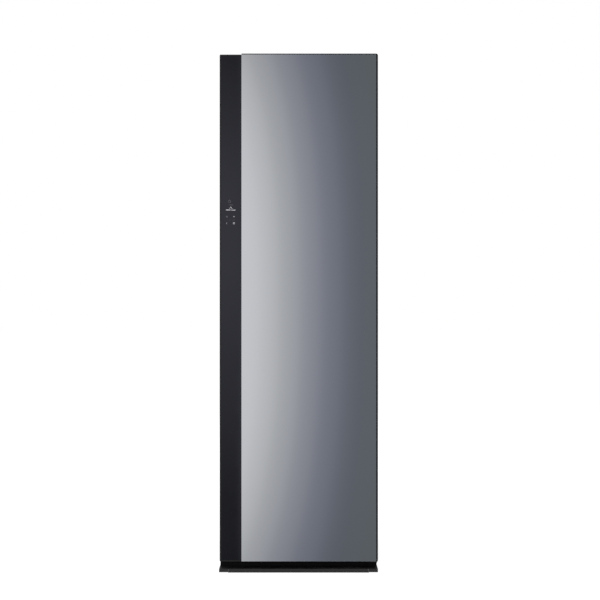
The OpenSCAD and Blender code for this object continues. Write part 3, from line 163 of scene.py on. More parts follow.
class EffectShelf:
    """Builds each shared effect once, as a node group, and places it in materials."""

    KINDS = {"Color": "NodeSocketColor", "Stretch": "NodeSocketVector"}

    def __init__(self) -> None:
        """Notes how each effect is made, with none built yet."""
        self._makers = {Effect.TONE: self._tone, Effect.WORN: self._worn, Effect.DUST: self._dust,
                        Effect.GRAIN: self._grain, Effect.DRAWN: self._drawn,
                        Effect.HANDLED: self._handled, Effect.SPANGLE: self._spangle}
        self._built: dict[Effect, bpy.types.NodeTree] = {}

    def put(self, desk: Desk, effect: Effect, given: dict[str, Any]) -> Socket:
        """Places an effect in a material.

        Args:
            desk: The material's own desk.
            effect: Which effect.
            given: Values or sockets for its inputs by name.

        Returns:
            The effect's output.
        """
        if effect not in self._built:
            self._built[effect] = self._build(effect)
        return desk.join(desk.add("Group", node_tree=self._built[effect]), **given).outputs[0]

    def _build(self, effect: Effect) -> bpy.types.NodeTree:
        """Makes one effect's node group.

        Args:
            effect: Which effect.

        Returns:
            The group, with its named inputs and its output.
        """
        name, takes, gives = effect.value
        tree = bpy.data.node_groups.new(name, "ShaderNodeTree")
        for title, way in (*((t, "INPUT") for t in takes), (gives, "OUTPUT")):
            kind = self.KINDS.get(title.split()[-1], "NodeSocketFloat")
            tree.interface.new_socket(name=title, in_out=way, socket_type=kind)
        desk = Desk(tree)
        given = {s.name: s for s in desk.add("NodeGroupInput").outputs if s.name}
        desk.add("NodeGroupOutput", self._makers[effect](desk, given))
        return tree

    def _tone(self, desk: Desk, given: Sockets) -> Socket:
        """Returns a colour that drifts slowly lighter and darker, as real paint and mouldings do."""
        swing = desk.spread(desk.noise(given["Scale"]), 0.25, 0.75, -1.0, 1.0)
        return desk.shade(given["Color"], swing, given["Amount"])

    def _worn(self, desk: Desk, given: Sockets) -> Socket:
        """Rubs the edges.

        Args:
            desk: The group's own desk.
            given: The group's inputs by name.

        Returns:
            The colour, and along the edges a lighter one that noise breaks up.
        """
        round_off = desk.join(desk.add("Bevel", samples=4), Radius=given["Width"])
        facing = desk.add("VectorMath", round_off.outputs[0], desk.add("NewGeometry").outputs["Normal"],
                          operation="DOT_PRODUCT")
        edge = desk.spread(facing.outputs["Value"], 0.995, 0.88, 0.0, 1.0)
        rubbed = desk.spread(desk.noise(70.0, 5.0), 0.35, 0.62, 0.15, 1.0)
        mask = desk.sum("MULTIPLY", desk.sum("MULTIPLY", edge, rubbed), given["Amount"])
        return desk.blend(mask, given["Color"], given["Worn Color"])

    def _dust(self, desk: Desk, given: Sockets) -> Socket:
        """Lets fine dust settle; a near-black dust colour paints shade on what faces up instead.

        Args:
            desk: The group's own desk.
            given: The group's inputs by name.

        Returns:
            The colour, blended on what faces up and near the floor towards the dust colour; a dark one is
            painted shade.
        """
        up = desk.add("SeparateXYZ", desk.add("NewGeometry").outputs["Normal"]).outputs["Z"]
        height = desk.add("SeparateXYZ", desk.place()).outputs["Z"]
        top = desk.spread(up, 0.55, 0.98, 0.0, 1.0)
        low = desk.spread(desk.sum("DIVIDE", height, given["Floor Height"]), 0.0, 1.0, 0.5, 0.0)
        patchy = desk.spread(desk.noise(24.0, 6.0), 0.3, 0.7, 0.25, 1.0)
        mask = desk.sum("MULTIPLY", desk.sum("MULTIPLY", desk.sum("MAXIMUM", top, low), patchy),
                        given["Amount"])
        return desk.blend(mask, given["Color"], given["Dust Color"])

    def _grain(self, desk: Desk, given: Sockets) -> Socket:
        """Returns the height of a moulding's fine pebbled skin, or of paint's orange peel."""
        cells = desk.cells(given["Scale"], "SMOOTH_F1").outputs["Distance"]
        return desk.sum("MULTIPLY_ADD", cells, given["Pebble"], desk.noise(given["Scale"], 2.0))

    def _drawn(self, desk: Desk, given: Sockets) -> Socket:
        """Returns the height of fine drawn or brushed lines along one direction."""
        stretch = desk.add("VectorMath", desk.place(), given["Stretch"], operation="MULTIPLY")
        return desk.noise(given["Scale"], 4.0, stretch.outputs[0])

    def _handled(self, desk: Desk, given: Sockets) -> Socket:
        """Returns a gloss that wiping and hands have made slightly uneven."""
        broad = desk.spread(desk.noise(given["Scale"], 5.0), 0.35, 0.65, -0.5, 1.0)
        return desk.sum("MULTIPLY_ADD", broad, given["Swing"], given["Roughness"])

    def _spangle(self, desk: Desk, given: Sockets) -> Socket:
        """Returns the colour of hot-dip zinc, lighter or darker from flake to flake."""
        flake = desk.add("SeparateColor", desk.cells(given["Scale"], "F1").outputs["Color"]).outputs[0]
        return desk.shade(given["Color"], desk.spread(flake, 0.0, 1.0, -1.0, 1.0), given["Contrast"])


class Mixer(Desk):
    """The desk of one material: its shader, with the shared effects at hand."""

    def __init__(self, tree: bpy.types.NodeTree, shelf: EffectShelf) -> None:
        """Clears the tree and joins a new shader to its output.

        Args:
            tree: The material's nodes.
            shelf: The shared effects.
        """
        super().__init__(tree)
        tree.nodes.clear()
        self.shelf = shelf
        self.shader = self.add("BsdfPrincipled")
        self.add("OutputMaterial", self.shader.outputs[0])

    def put(self, effect: Effect, **given: Any) -> Socket:
        """Returns the output of a shared effect that gets those inputs, named as in join."""
        return self.shelf.put(self, effect, given)

    def set(self, **given: Any) -> None:
        """Feeds the shader's inputs, named as in join."""
        self.join(self.shader, **given)

    def base(self, colour: Any, roughness: float, drift: Flat, swing: Flat) -> Socket:
        """Gives the shader a slowly drifting colour and an uneven gloss.

        Args:
            colour: The colour, or the socket that gives it.
            roughness: The gloss where it is even.
            drift: How many drifts a metre the colour has, and how strong they are.
            swing: How many swings a metre the gloss has, and how strong they are.

        Returns:
            The drifting colour.
        """
        tone = self.put(Effect.TONE, Color=colour, Scale=drift[0], Amount=drift[1])
        gloss = self.put(Effect.HANDLED, Roughness=roughness, Scale=swing[0], Swing=swing[1])
        self.set(Base_Color=tone, Roughness=gloss)
        return tone

    def skin(self, height: Any, depth: float, strength: float) -> None:
        """Turns a height into the shader's normal, with the depth in metres."""
        bump = self.join(self.add("Bump"), Distance=depth, Strength=strength, Height=height)
        self.set(Normal=bump.outputs[0])


# ---------------------------------------------------------------- finishes


@dataclass(frozen=True)
class Finish:
    """One finish: its slot in the record, its colour, its gloss, and its own title if it has one."""

    slot: str
    colour: Colour
    roughness: float
    title: str = ""

    def material(self, shelf: EffectShelf) -> bpy.types.Material:
        """Builds the material.

        Args:
            shelf: The shared effects.

        Returns:
            A material with its nodes joined.
        """
        made = bpy.data.materials.new(self.title or self.slot)
        made["slot"] = self.slot
        made.use_nodes = True
        self.dress(Mixer(made.node_tree, shelf))
        return made

    def dress(self, mix: Mixer) -> None:
        """Sets the shader's sockets; each kind of finish does this its own way."""
        raise NotImplementedError


@dataclass(frozen=True)
class Moulding(Finish):
    """Moulded plastic with a fine skin, rubbed edges and a little dust; a dark dust colour paints shade on
    upward faces.
    """

    grain: float = 700.0
    depth: float = 0.00012
    strength: float = 0.25
    rub: float = 0.25
    worn: Colour = (0.4, 0.4, 0.4)
    # Dust on upward faces; with a near-black dust colour this is painted shade, not dust.
    dust: float = 0.05
    drift: float = 0.05
    settled: Colour = (0.42, 0.4, 0.37)
    low: float = 0.12
    swing: float = 0.06
    specular: float = 0.5
    coat: float = 0.0

    def dress(self, mix: Mixer) -> None:
        """Joins tone, wear, dust (painted shade where its colour is dark), grain and gloss.

        Args:
            mix: The material's desk.
        """
        tone = mix.base(self.colour, self.roughness, (5.0, self.drift), (9.0, self.swing))
        worn = mix.put(Effect.WORN, Color=tone, Worn_Color=self.worn, Width=0.0009, Amount=self.rub)
        mix.set(Base_Color=mix.put(Effect.DUST, Color=worn, Dust_Color=self.settled, Amount=self.dust,
                                   Floor_Height=self.low),
                Specular_IOR_Level=self.specular, Coat_Weight=self.coat, Coat_Roughness=0.08)
        mix.skin(mix.put(Effect.GRAIN, Scale=self.grain, Pebble=0.5), self.depth, self.strength)


@dataclass(frozen=True)
class PaintedSteel(Finish):
    """Powder-coated or enamelled sheet with a light orange peel."""

    peel: float = 260.0
    rub: float = 0.2
    worn: Colour = (0.35, 0.35, 0.36)
    dust: float = 0.035
    specular: float = 0.5
    coat: float = 0.25

    def dress(self, mix: Mixer) -> None:
        """Joins tone, wear, dust, peel and gloss.

        Args:
            mix: The material's desk.
        """
        tone = mix.base(self.colour, self.roughness, (1.6, 0.025), (4.0, 0.015))
        worn = mix.put(Effect.WORN, Color=tone, Worn_Color=self.worn, Width=0.0007, Amount=self.rub)
        mix.set(Base_Color=mix.put(Effect.DUST, Color=worn, Dust_Color=(0.45, 0.43, 0.4),
                                   Amount=self.dust, Floor_Height=0.15),
                Specular_IOR_Level=self.specular, Coat_Weight=self.coat, Coat_Roughness=0.15)
        mix.skin(mix.put(Effect.GRAIN, Scale=self.peel, Pebble=0.2), 0.00025, 0.22)


@dataclass(frozen=True)
class BareMetal(Finish):
    """Drawn, brushed, zinc-plated or machined metal."""

    lines: Point = (1.0, 1.0, 40.0)
    scale: float = 60.0
    strength: float = 0.12
    flakes: float = 0.0
    contrast: float = 0.1
    drift: float = 0.06
    swing: float = 0.08

    def dress(self, mix: Mixer) -> None:
        """Joins tone, lines, zinc flakes and gloss.

        Args:
            mix: The material's desk.
        """
        tone = mix.base(self.colour, self.roughness, (7.0, self.drift), (14.0, self.swing))
        if self.flakes:
            tone = mix.put(Effect.SPANGLE, Color=tone, Scale=self.flakes, Contrast=self.contrast)
        mix.set(Base_Color=tone, Metallic=1.0)
        mix.skin(mix.put(Effect.DRAWN, Stretch=self.lines, Scale=self.scale), 0.0001, self.strength)


@dataclass(frozen=True)
class SilveredGlass(Finish):
    """The mirror: silver behind clear float glass, wiped but not quite even."""

    def dress(self, mix: Mixer) -> None:
        """Joins the silver's tone, the wiped gloss and the glass's long slow waves.

        Args:
            mix: The material's desk.
        """
        mix.base(self.colour, self.roughness, (1.5, 0.006), (7.0, 0.006))
        mix.set(Metallic=1.0)
        mix.skin(mix.noise(2.5, 1.0), 0.0004, 0.1)


@dataclass(frozen=True)
class PrintedGlass(Finish):
    """Black glass, printed on its back, with faint wipe marks."""

    def dress(self, mix: Mixer) -> None:
        """Joins the print's tone and the wiped gloss."""
        mix.base(self.colour, self.roughness, (6.0, 0.08), (11.0, 0.03))
        mix.set(IOR=1.57, Specular_Tint=(0.83, 0.83, 1.0))


@dataclass(frozen=True)
class Foam(Finish):
    """Rigid insulating foam with a skin of small cells."""

    def dress(self, mix: Mixer) -> None:
        """Joins the foam's tone and its cells."""
        mix.base(self.colour, self.roughness, (12.0, 0.1), (9.0, 0.05))
        mix.skin(mix.put(Effect.GRAIN, Scale=260.0, Pebble=1.5), 0.0015, 0.6)


@dataclass(frozen=True)
class SmokedPlastic(Finish):
    """Clear or smoked plastic that light passes through."""

    clear: float = 0.6
    glow: Colour = (0.0, 0.0, 0.0)
    glow_strength: float = 0.0

    def dress(self, mix: Mixer) -> None:
        """Joins the tint, the scuffed gloss and the faint flow marks.

        Args:
            mix: The material's desk.
        """
        mix.base(self.colour, self.roughness, (8.0, 0.01), (12.0, 0.02))
        mix.set(Transmission_Weight=self.clear, IOR=1.49, Emission_Color=self.glow,
                Emission_Strength=self.glow_strength)
        mix.skin(mix.put(Effect.GRAIN, Scale=700.0, Pebble=0.3), 0.00005, 0.08)


@dataclass(frozen=True)
class LitPrint(Finish):
    """A symbol that shines through the printed glass."""

    glow_strength: float = 0.3

    def dress(self, mix: Mixer) -> None:
        """Joins the print's uneven light to the shader's glow."""
        tone = mix.base(self.colour, self.roughness, (160.0, 0.2), (30.0, 0.02))
        mix.set(Emission_Color=tone, Emission_Strength=self.glow_strength)


@dataclass(frozen=True)
class CircuitBoard(Finish):
    """Green solder mask over copper tracks."""

    track: Colour = (0.05, 0.26, 0.12)

    def dress(self, mix: Mixer) -> None:
        """Joins a net of tracks to the mask's colour and height.

        Args:
            mix: The material's desk.
        """
        turn = mix.join(mix.add("Mapping"), Vector=mix.place(), Rotation=(math.radians(90), 0.0, 0.0))
        net = mix.join(mix.add("TexBrick", offset=0.4, squash=1.7), Vector=turn.outputs[0], Scale=90.0,
                       Mortar_Size=0.06, Mortar_Smooth=0.2, Color1=(0.0, 0.0, 0.0),
                       Color2=(0.0, 0.0, 0.0), Mortar=(1.0, 1.0, 1.0))
        mix.base(mix.blend(net.outputs["Color"], self.colour, self.track), self.roughness, (40.0, 0.08),
                 (40.0, 0.08))
        mix.skin(net.outputs["Fac"], 0.0002, 0.4)


@dataclass(frozen=True)
class Screen(Finish):
    """Woven mesh or wire gauze, drawn as a fine net with painted shade in its holes."""

    pitch: float = 550.0
    upright: bool = False

    def dress(self, mix: Mixer) -> None:
        """Joins two sets of threads to the height, and paints shade into the holes between them.

        Args:
            mix: The material's desk.
        """
        split = mix.add("SeparateXYZ", mix.place())
        threads = []
        for axis in ("X", "Z" if self.upright else "Y"):
            wave = mix.sum("SINE", mix.sum("MULTIPLY", split.outputs[axis], self.pitch * math.tau))
            threads.append(mix.spread(wave, -1.0, 1.0, 0.0, 1.0))
        net = mix.sum("MAXIMUM", *threads)
        tone = mix.base(self.colour, self.roughness, (30.0, 0.1), (20.0, 0.05))
        # The holes take a quarter of the colour: painted shade for the dark space seen through the net.
        mix.set(Base_Color=mix.blend(net, [c * 0.25 for c in self.colour], tone))
        mix.skin(net, 0.0004, 0.5)


# ---------------------------------------------------------------- shaping


class Axis(Enum):
    """The way that an outline is pulled or a profile is turned."""

    X = (1, 2, 0)
    Y = (0, 2, 1)
    Z = (0, 1, 2)

    def point(self, u: float, v: float, along: float) -> Vector:
        """Returns the point at u and v across this way and at along on it."""
        given = dict(zip(self.value, (u, v, along)))
        return Vector((given[0], given[1], given[2]))


def row(start: float, step: float, count: int) -> list[float]:
    """Returns evenly spaced places."""
    return [start + step * k for k in range(count)]


def span(start: float, end: float, count: int) -> list[float]:
    """Returns the ends of that many even parts from start to end."""
    return row(start, (end - start) / count, count + 1)


def grid(us: Sequence[float], vs: Sequence[float]) -> list[Flat]:
    """Returns every place of a grid, given its places each way."""
    return [(u, v) for u in us for v in vs]


def bow(centre: Flat, radius: float, degrees: Iterable[float]) -> list[Flat]:
    """Returns the points of a circle that lie at those angles."""
    return [(centre[0] + radius * math.cos(a), centre[1] + radius * math.sin(a))
            for a in (math.radians(d) for d in degrees)]


def disc(centre: Flat, radius: float, steps: int = 24, start: float = 0.0) -> list[Flat]:
    """Returns the outline of a circle, or of a polygon where there are few steps."""
    return bow(centre, radius, (start + 360.0 * k / steps for k in range(steps)))


def rounded(lo: Flat, hi: Flat, radius: float, steps: int = 5) -> list[Flat]:
    """Draws a rectangle with round corners.

    Args:
        lo: Its lower corner.
        hi: Its upper corner.
        radius: The radius of its corners.
        steps: How many flats each round corner has.

    Returns:
        The outline.
    """
    corners = ((hi[0] - radius, hi[1] - radius, 0), (lo[0] + radius, hi[1] - radius, 90),
               (lo[0] + radius, lo[1] + radius, 180), (hi[0] - radius, lo[1] + radius, 270))
    return [p for x, y, start in corners for p in bow((x, y), radius, span(start, start + 90, steps))]


def ring(inner: float, outer: float, lo: float, hi: float) -> list[Flat]:
    """Returns the profile of a flat ring, to be turned."""
    return [(inner, lo), (outer, lo), (outer, hi), (inner, hi)]


def swept(points: Sequence[Point], steps: int = 6) -> list[Vector]:
    """Draws a smooth path through the points (Catmull-Rom).

    Args:
        points: What the path goes through.
        steps: How many parts it has between two of them.

    Returns:
        The path's points.
    """
    given = [Vector(p) for p in points]
    given = [2 * given[0] - given[1], *given, 2 * given[-1] - given[-2]]
    path = []
    for a, b, c, d in zip(given, given[1:], given[2:], given[3:]):
        for t in (i / steps for i in range(steps)):
            path.append(0.5 * ((2 * b) + (c - a) * t + (2 * a - 5 * b + 4 * c - d) * t * t
                               + (3 * b - a - 3 * c + d) * t ** 3))
    return path + [given[-2]]


def way_at(line: Sequence[Vector], i: int) -> Vector:
    """Returns a line's direction at its point i."""
    return (line[min(i + 1, len(line) - 1)] - line[max(i - 1, 0)]).normalized()


class Shape:
    """One piece's mesh, gathered in millimetres from pulled outlines, turned profiles and tubes."""

    SHARP = math.radians(40.0)

    def __init__(self) -> None:
        """Starts with an empty mesh."""
        self.mesh = bmesh.new()

    def _ring(self, points: Iterable[Vector]) -> list[bmesh.types.BMVert]:
        """Returns new corners at the points."""
        return [self.mesh.verts.new(p) for p in points]

    def _loft(self, rings: Sequence[Iterable[Vector]], closed: bool = False) -> None:
        """Skins rings of equal length.

        Args:
            rings: The rings in order.
            closed: Whether the last ring is joined to the first, rather than both being filled.
        """
        made = [self._ring(points) for points in rings]
        for low, high in [*zip(made, made[1:]), *([(made[-1], made[0])] if closed else [])]:
            for i in range(len(low)):
                self.mesh.faces.new((low[i - 1], low[i], high[i], high[i - 1]))
        if not closed:
            self.mesh.faces.new(list(reversed(made[0])))
            self.mesh.faces.new(made[-1])

    def pull(self, outline: Sequence[Flat], axis: Axis, lo: float, hi: float) -> Shape:
        """Adds an outline pulled along an axis from lo to hi."""
        self._loft([[axis.point(u, v, w) for u, v in outline] for w in (lo, hi)])
        return self

    def slab(self, lo: Flat, hi: Flat, radius: float, axis: Axis, start: float, end: float,
             steps: int = 5) -> Shape:
        """Adds a rectangle with round corners, pulled along an axis from start to end."""
        return self.pull(rounded(lo, hi, radius, steps), axis, start, end)

    def pegs(self, centres: Iterable[Flat], radius: float, sides: int, axis: Axis, lo: float,
             hi: float) -> Shape:
        """Adds a round or many-sided peg at each centre.

        Args:
            centres: The pegs' places across the axis.
            radius: A peg's radius.
            sides: How many sides it has.
            axis: The way that the pegs stand.
            lo: Where they start.
            hi: Where they end.

        Returns:
            This shape.
        """
        for centre in centres:
            self.pull(disc(centre, radius, sides), axis, lo, hi)
        return self

    def _fill(self, loops: Iterable[Sequence[bmesh.types.BMVert]]) -> list[bmesh.types.BMFace]:
        """Fills the space between closed loops of corners.

        Args:
            loops: The outer loop and the holes in it.

        Returns:
            The new faces.
        """
        edges = []
        for loop in loops:
            for a, b in zip([loop[-1], *loop], loop):
                edges.append(self.mesh.edges.get((a, b)) or self.mesh.edges.new((a, b)))
        filled = bmesh.ops.triangle_fill(self.mesh, use_beauty=True, use_dissolve=False, edges=edges)
        return [g for g in filled["geom"] if isinstance(g, bmesh.types.BMFace)]

    def sheet(self, outline: Sequence[Flat], holes: Iterable[Sequence[Flat]], axis: Axis, lo: float,
              hi: float) -> Shape:
        """Adds a plate with holes.

        Args:
            outline: The plate's own outline.
            holes: The outlines of its holes.
            axis: The way that the plate's thickness runs.
            lo: Where the thickness starts.
            hi: Where it ends.

        Returns:
            This shape.
        """
        faces = self._fill([self._ring(axis.point(u, v, lo) for u, v in loop)
                            for loop in (outline, *holes)])
        raised = bmesh.ops.extrude_face_region(self.mesh, geom=faces, use_keep_orig=True)
        top = [g for g in raised["geom"] if isinstance(g, bmesh.types.BMVert)]
        bmesh.ops.translate(self.mesh, verts=top, vec=axis.point(0.0, 0.0, hi - lo))
        return self

    def rim(self, lo: Flat, hi: Flat, width: float, corners: Flat, axis: Axis, start: float,
            end: float) -> Shape:
        """Adds a band that runs round inside a rectangle.

        Args:
            lo: The rectangle's lower corner.
            hi: Its upper corner.
            width: The band's width.
            corners: The radius of the band's outer and inner corners.
            axis: The way that the band's thickness runs.
            start: Where the thickness starts.
            end: Where it ends.

        Returns:
            This shape.
        """
        inner = rounded((lo[0] + width, lo[1] + width), (hi[0] - width, hi[1] - width), corners[1])
        return self.sheet(rounded(lo, hi, corners[0]), [inner], axis, start, end)

    def turn(self, profile: Sequence[Flat], centre: Flat, axis: Axis, steps: int = 32) -> Shape:
        """Adds a profile of (radius, along) points turned about an axis.

        Args:
            profile: The points; a profile that starts and ends off the axis is closed onto its start.
            centre: The axis's place across its own direction.
            axis: The axis's direction.
            steps: How many sides a turn has.

        Returns:
            This shape.
        """
        hollow = profile[0][0] > 0 and profile[-1][0] > 0
        self._loft([[axis.point(u, v, along) for u, v in disc(centre, max(radius, 0.001), steps)]
                    for radius, along in profile], closed=hollow)
        return self

    def tube(self, path: Sequence[Vector], radius: float, sides: int = 12) -> Shape:
        """Adds a round tube along a path, turned as little as it can be.

        Args:
            path: The points of its middle line.
            radius: Its radius.
            sides: How many sides it has.

        Returns:
            This shape.
        """
        side = way_at(path, 0).orthogonal().normalized()
        rings = []
        for i, point in enumerate(path):
            way = way_at(path, i)
            side = (side - way * side.dot(way)).normalized()
            over = way.cross(side)
            rings.append([point + side * u + over * v for u, v in disc((0.0, 0.0), radius, sides)])
        self._loft(rings)
        return self

    def coil(self, centre: Flat, axis: Axis, radius: float, wire: float, turns: float, lo: float,
             hi: float) -> Shape:
        """Adds a spring of round wire.

        Args:
            centre: The spring's place across its axis.
            axis: The spring's axis.
            radius: The radius of its turns.
            wire: The radius of its wire.
            turns: How many turns it has.
            lo: Where it starts.
            hi: Where it ends.

        Returns:
            This shape.
        """
        count = max(8, int(turns * 14))
        line = bow(centre, radius, span(0.0, 360.0 * turns, count))
        return self.tube([axis.point(u, v, lo + (hi - lo) * i / count) for i, (u, v) in enumerate(line)],
                         wire, 8)

    def screws(self, centres: Iterable[Flat], axis: Axis, seat: float, radius: float,
               way: int = 1) -> Shape:
        """Adds a row of screw heads.

        Args:
            centres: The heads' places across the axis.
            axis: The way that the screws run.
            seat: Where a head's flat side sits.
            radius: A head's radius.
            way: 1 where the heads face up the axis, -1 where they face down.

        Returns:
            This shape.
        """
        for centre in centres:
            self._screw(centre, axis, seat, radius, way)
        return self

    def _screw(self, centre: Flat, axis: Axis, seat: float, radius: float, way: int) -> None:
        """Adds a domed screw head with a cross in it.

        Args:
            centre: The head's place across the axis.
            axis: The way that the screw runs.
            seat: Where the head's flat side sits.
            radius: The head's radius.
            way: 1 where the head faces up the axis, -1 where it faces down.
        """
        slot, arm = radius * 0.14, radius * 0.55
        cross = [(slot, slot), (slot, arm), (-slot, arm), (-slot, slot), (-arm, slot), (-arm, -slot),
                 (-slot, -slot), (-slot, -arm), (slot, -arm), (slot, -slot), (arm, -slot), (arm, slot)]
        turned = math.radians(17.0 * (centre[0] + centre[1]))
        spin, lean = math.cos(turned), math.sin(turned)
        cross = [(centre[0] + u * spin - v * lean, centre[1] + u * lean + v * spin) for u, v in cross]
        rings = [self._ring(axis.point(u, v, seat + way * radius * rise)
                            for u, v in disc(centre, radius * wide))
                 for wide, rise in ((1.0, 0.0), (1.0, 0.16), (0.86, 0.4), (0.66, 0.55))]
        mouth, floor = (self._ring(axis.point(u, v, seat + way * radius * rise) for u, v in cross)
                        for rise in (0.55, 0.2))
        for low, high in (*zip(rings, rings[1:]), (mouth, floor)):
            for i in range(len(low)):
                self.mesh.faces.new((low[i - 1], low[i], high[i], high[i - 1]))
        self.mesh.faces.new(floor)
        self._fill((rings[-1], mouth))

    def stroke(self, points: Sequence[Flat], width: float, axis: Axis, lo: float, hi: float) -> Shape:
        """Adds a drawn line of flat stock, with square ends.

        Args:
            points: The points that it goes through.
            width: The line's width.
            axis: The way that its thickness runs.
            lo: Where the thickness starts.
            hi: Where it ends.

        Returns:
            This shape.
        """
        line = [Vector(p) for p in points]
        across = [way_at(line, i).orthogonal() * width / 2 for i in range(len(line))]
        left, right = ([tuple(p + side * a) for p, a in zip(line, across)] for side in (1, -1))
        return self.pull(left + right[::-1], axis, lo, hi)

    def arc(self, centre: Flat, radius: float, width: float, start: float, end: float, axis: Axis,
            lo: float, hi: float) -> Shape:
        """Adds a bent line of flat stock on part of a circle, from one angle to another."""
        line = bow(centre, radius, span(start, end, max(4, int(abs(end - start) / 12))))
        return self.stroke(line, width, axis, lo, hi)

    def place(self, name: str, material: bpy.types.Material, body: str,
              edge: float = 0.0) -> bpy.types.Object:
        """Makes the piece, rounds its edges and lets it ride on its body.

        Args:
            name: The piece's name.
            material: Its finish.
            body: The CAD body that carries it.
            edge: How far its sharp edges are rounded, in millimetres.

        Returns:
            The new object.
        """
        bmesh.ops.recalc_face_normals(self.mesh, faces=list(self.mesh.faces))
        bmesh.ops.scale(self.mesh, vec=Vector((MM, MM, MM)), verts=list(self.mesh.verts))
        for face in self.mesh.faces:
            face.smooth = True
        for seam in self.mesh.edges:
            seam.smooth = len(seam.link_faces) == 2 and seam.calc_face_angle(0.0) < self.SHARP
        data = bpy.data.meshes.new(name)
        self.mesh.to_mesh(data)
        self.mesh.free()
        data.materials.append(material)
        made = bpy.data.objects.new(name, data)
        bpy.context.scene.collection.objects.link(made)
        if edge:
            bevel = made.modifiers.new("soft_edge", "BEVEL")
            bevel.width, bevel.segments = edge * MM, 2
            bevel.limit_method, bevel.angle_limit = "ANGLE", self.SHARP
            made.modifiers.new("weighted_normal", "WEIGHTED_NORMAL").keep_sharp = True
        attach(made, body)
        log.info("%s: %d faces on %s", name, len(data.polygons), body)
        return made


@dataclass
class Assembly:
    """Pieces that share their sizes, the finishes they take and a body to ride on."""

    wardrobe: Wardrobe
    body: str = "cabinet"

    def fit(self, shape: Shape, name: str, finish: str, edge: float = 0.0,
            body: str = "") -> bpy.types.Object:
        """Makes one piece.

        Args:
            shape: Its mesh.
            name: Its name.
            finish: The title of its finish.
            edge: How far its sharp edges are rounded, in millimetres.
            body: What it rides on, where that isn't the assembly's own body.

        Returns:
            The new object.
        """
        return shape.place(name, self.wardrobe.made[finish], body or self.body, edge)


# ---------------------------------------------------------------- door


@dataclass
class TouchStrip(Assembly):
    """The symbols that shine through the control strip's black glass."""

    body: str = "door"
    ink: tuple[Axis, float, float] = (Axis.Y, -282.06, -281.94)
    middle_x: float = -256.0
    bar_z: float = 1371.0
    bar_half: float = 18.8
    bar_h: float = 2.9
    ring_at: Flat = (-261.5, 1404.0)
    ring_r: float = 4.6
    small: float = 0.64
    touch_x: Flat = (-271.5, -244.5)
    touch_z: Flat = (1345.5, 1320.5)
    dots_z: float = 1333.0

    def dress(self) -> None:
        """Prints every symbol."""
        self._mains_sign()
        self._programme_bar()
        self._steam_and_dry()
        self._night_and_start()
        dots = Shape().pegs(grid(row(self.middle_x - 14.0, 7.0, 5), [self.dots_z]), 0.8, 12, *self.ink)
        self.fit(dots, "sign_steps", "print_dim")

    def _mains_sign(self) -> None:
        """A ring with a bar, the sign for the mains button, and a small line under it."""
        x, z = self.ring_at
        sign = Shape().arc((x, z), self.ring_r, 1.0, -240.0, 60.0, *self.ink)
        sign.stroke([(x, z + 1.0), (x, z + self.ring_r + 1.4)], 1.0, *self.ink)
        self.fit(sign, "sign_mains", "print_dim")
        line = Shape().stroke([(x - 2.0, z - 14.0), (x + 13.0, z - 14.0)], 1.4, *self.ink)
        self.fit(line, "sign_mains_line", "print_dim")

    def _programme_bar(self) -> None:
        """A hanger over a long bar in two parts that shows the programme's progress."""
        x, z = self.middle_x, self.bar_z
        hanger = Shape().stroke([(x - 6.2, z + 5.4), (x - 0.6, z + 9.4), (x + 4.8, z + 5.4)], 2.0, *self.ink)
        self.fit(hanger.arc((x - 0.6, z + 11.0), 1.2, 1.0, -90.0, 160.0, *self.ink), "sign_hanger",
                 "print_bright")
        bar = Shape().stroke([(x - self.bar_half, z), (x - 1.6, z)], self.bar_h, *self.ink)
        bar.stroke([(x + 1.4, z - 0.6), (x + self.bar_half - 2.0, z - 0.6)], self.bar_h, *self.ink)
        self.fit(bar, "sign_progress", "print_bright")

    def _steam_and_dry(self) -> None:
        """The upper touch places: three rising waves, and a sun with its rays."""
        (left, right), high, s = self.touch_x, self.touch_z[0], self.small
        steam = Shape()
        for dx in (-3.2, 0.0, 3.2):
            steam.stroke([(left + s * (dx + 0.9 * math.sin(k * 1.3)), high + s * (1.7 * k - 4.2))
                          for k in range(6)], 0.8, *self.ink)
        self.fit(steam, "sign_steam", "print_soft")
        dry = Shape().arc((right, high), 2.1 * s, 1.0, 0.0, 345.0, *self.ink)
        for ray in zip(disc((right, high), 3.4 * s, 8), disc((right, high), 5.2 * s, 8)):
            dry.stroke(ray, 0.8, *self.ink)
        self.fit(dry, "sign_dry", "print_clear")

    def _night_and_start(self) -> None:
        """The lower touch places: a moon, and a ring round an arrowhead."""
        (left, right), low, s = self.touch_x, self.touch_z[1], self.small
        night = Shape().arc((left, low), 4.0 * s, 0.9, 60.0, 300.0, *self.ink)
        self.fit(night.arc((left + 3.4 * s, low), 3.9 * s, 0.9, 118.0, 242.0, *self.ink), "sign_night",
                 "print_soft")
        start = Shape().arc((right, low), 5.2 * s, 1.2, 0.0, 345.0, *self.ink)
        tip = [(right - 1.8 * s, low - 2.8 * s), (right + 3.0 * s, low), (right - 1.8 * s, low + 2.8 * s)]
        self.fit(start.pull(tip, *self.ink), "sign_start", "print_bright")


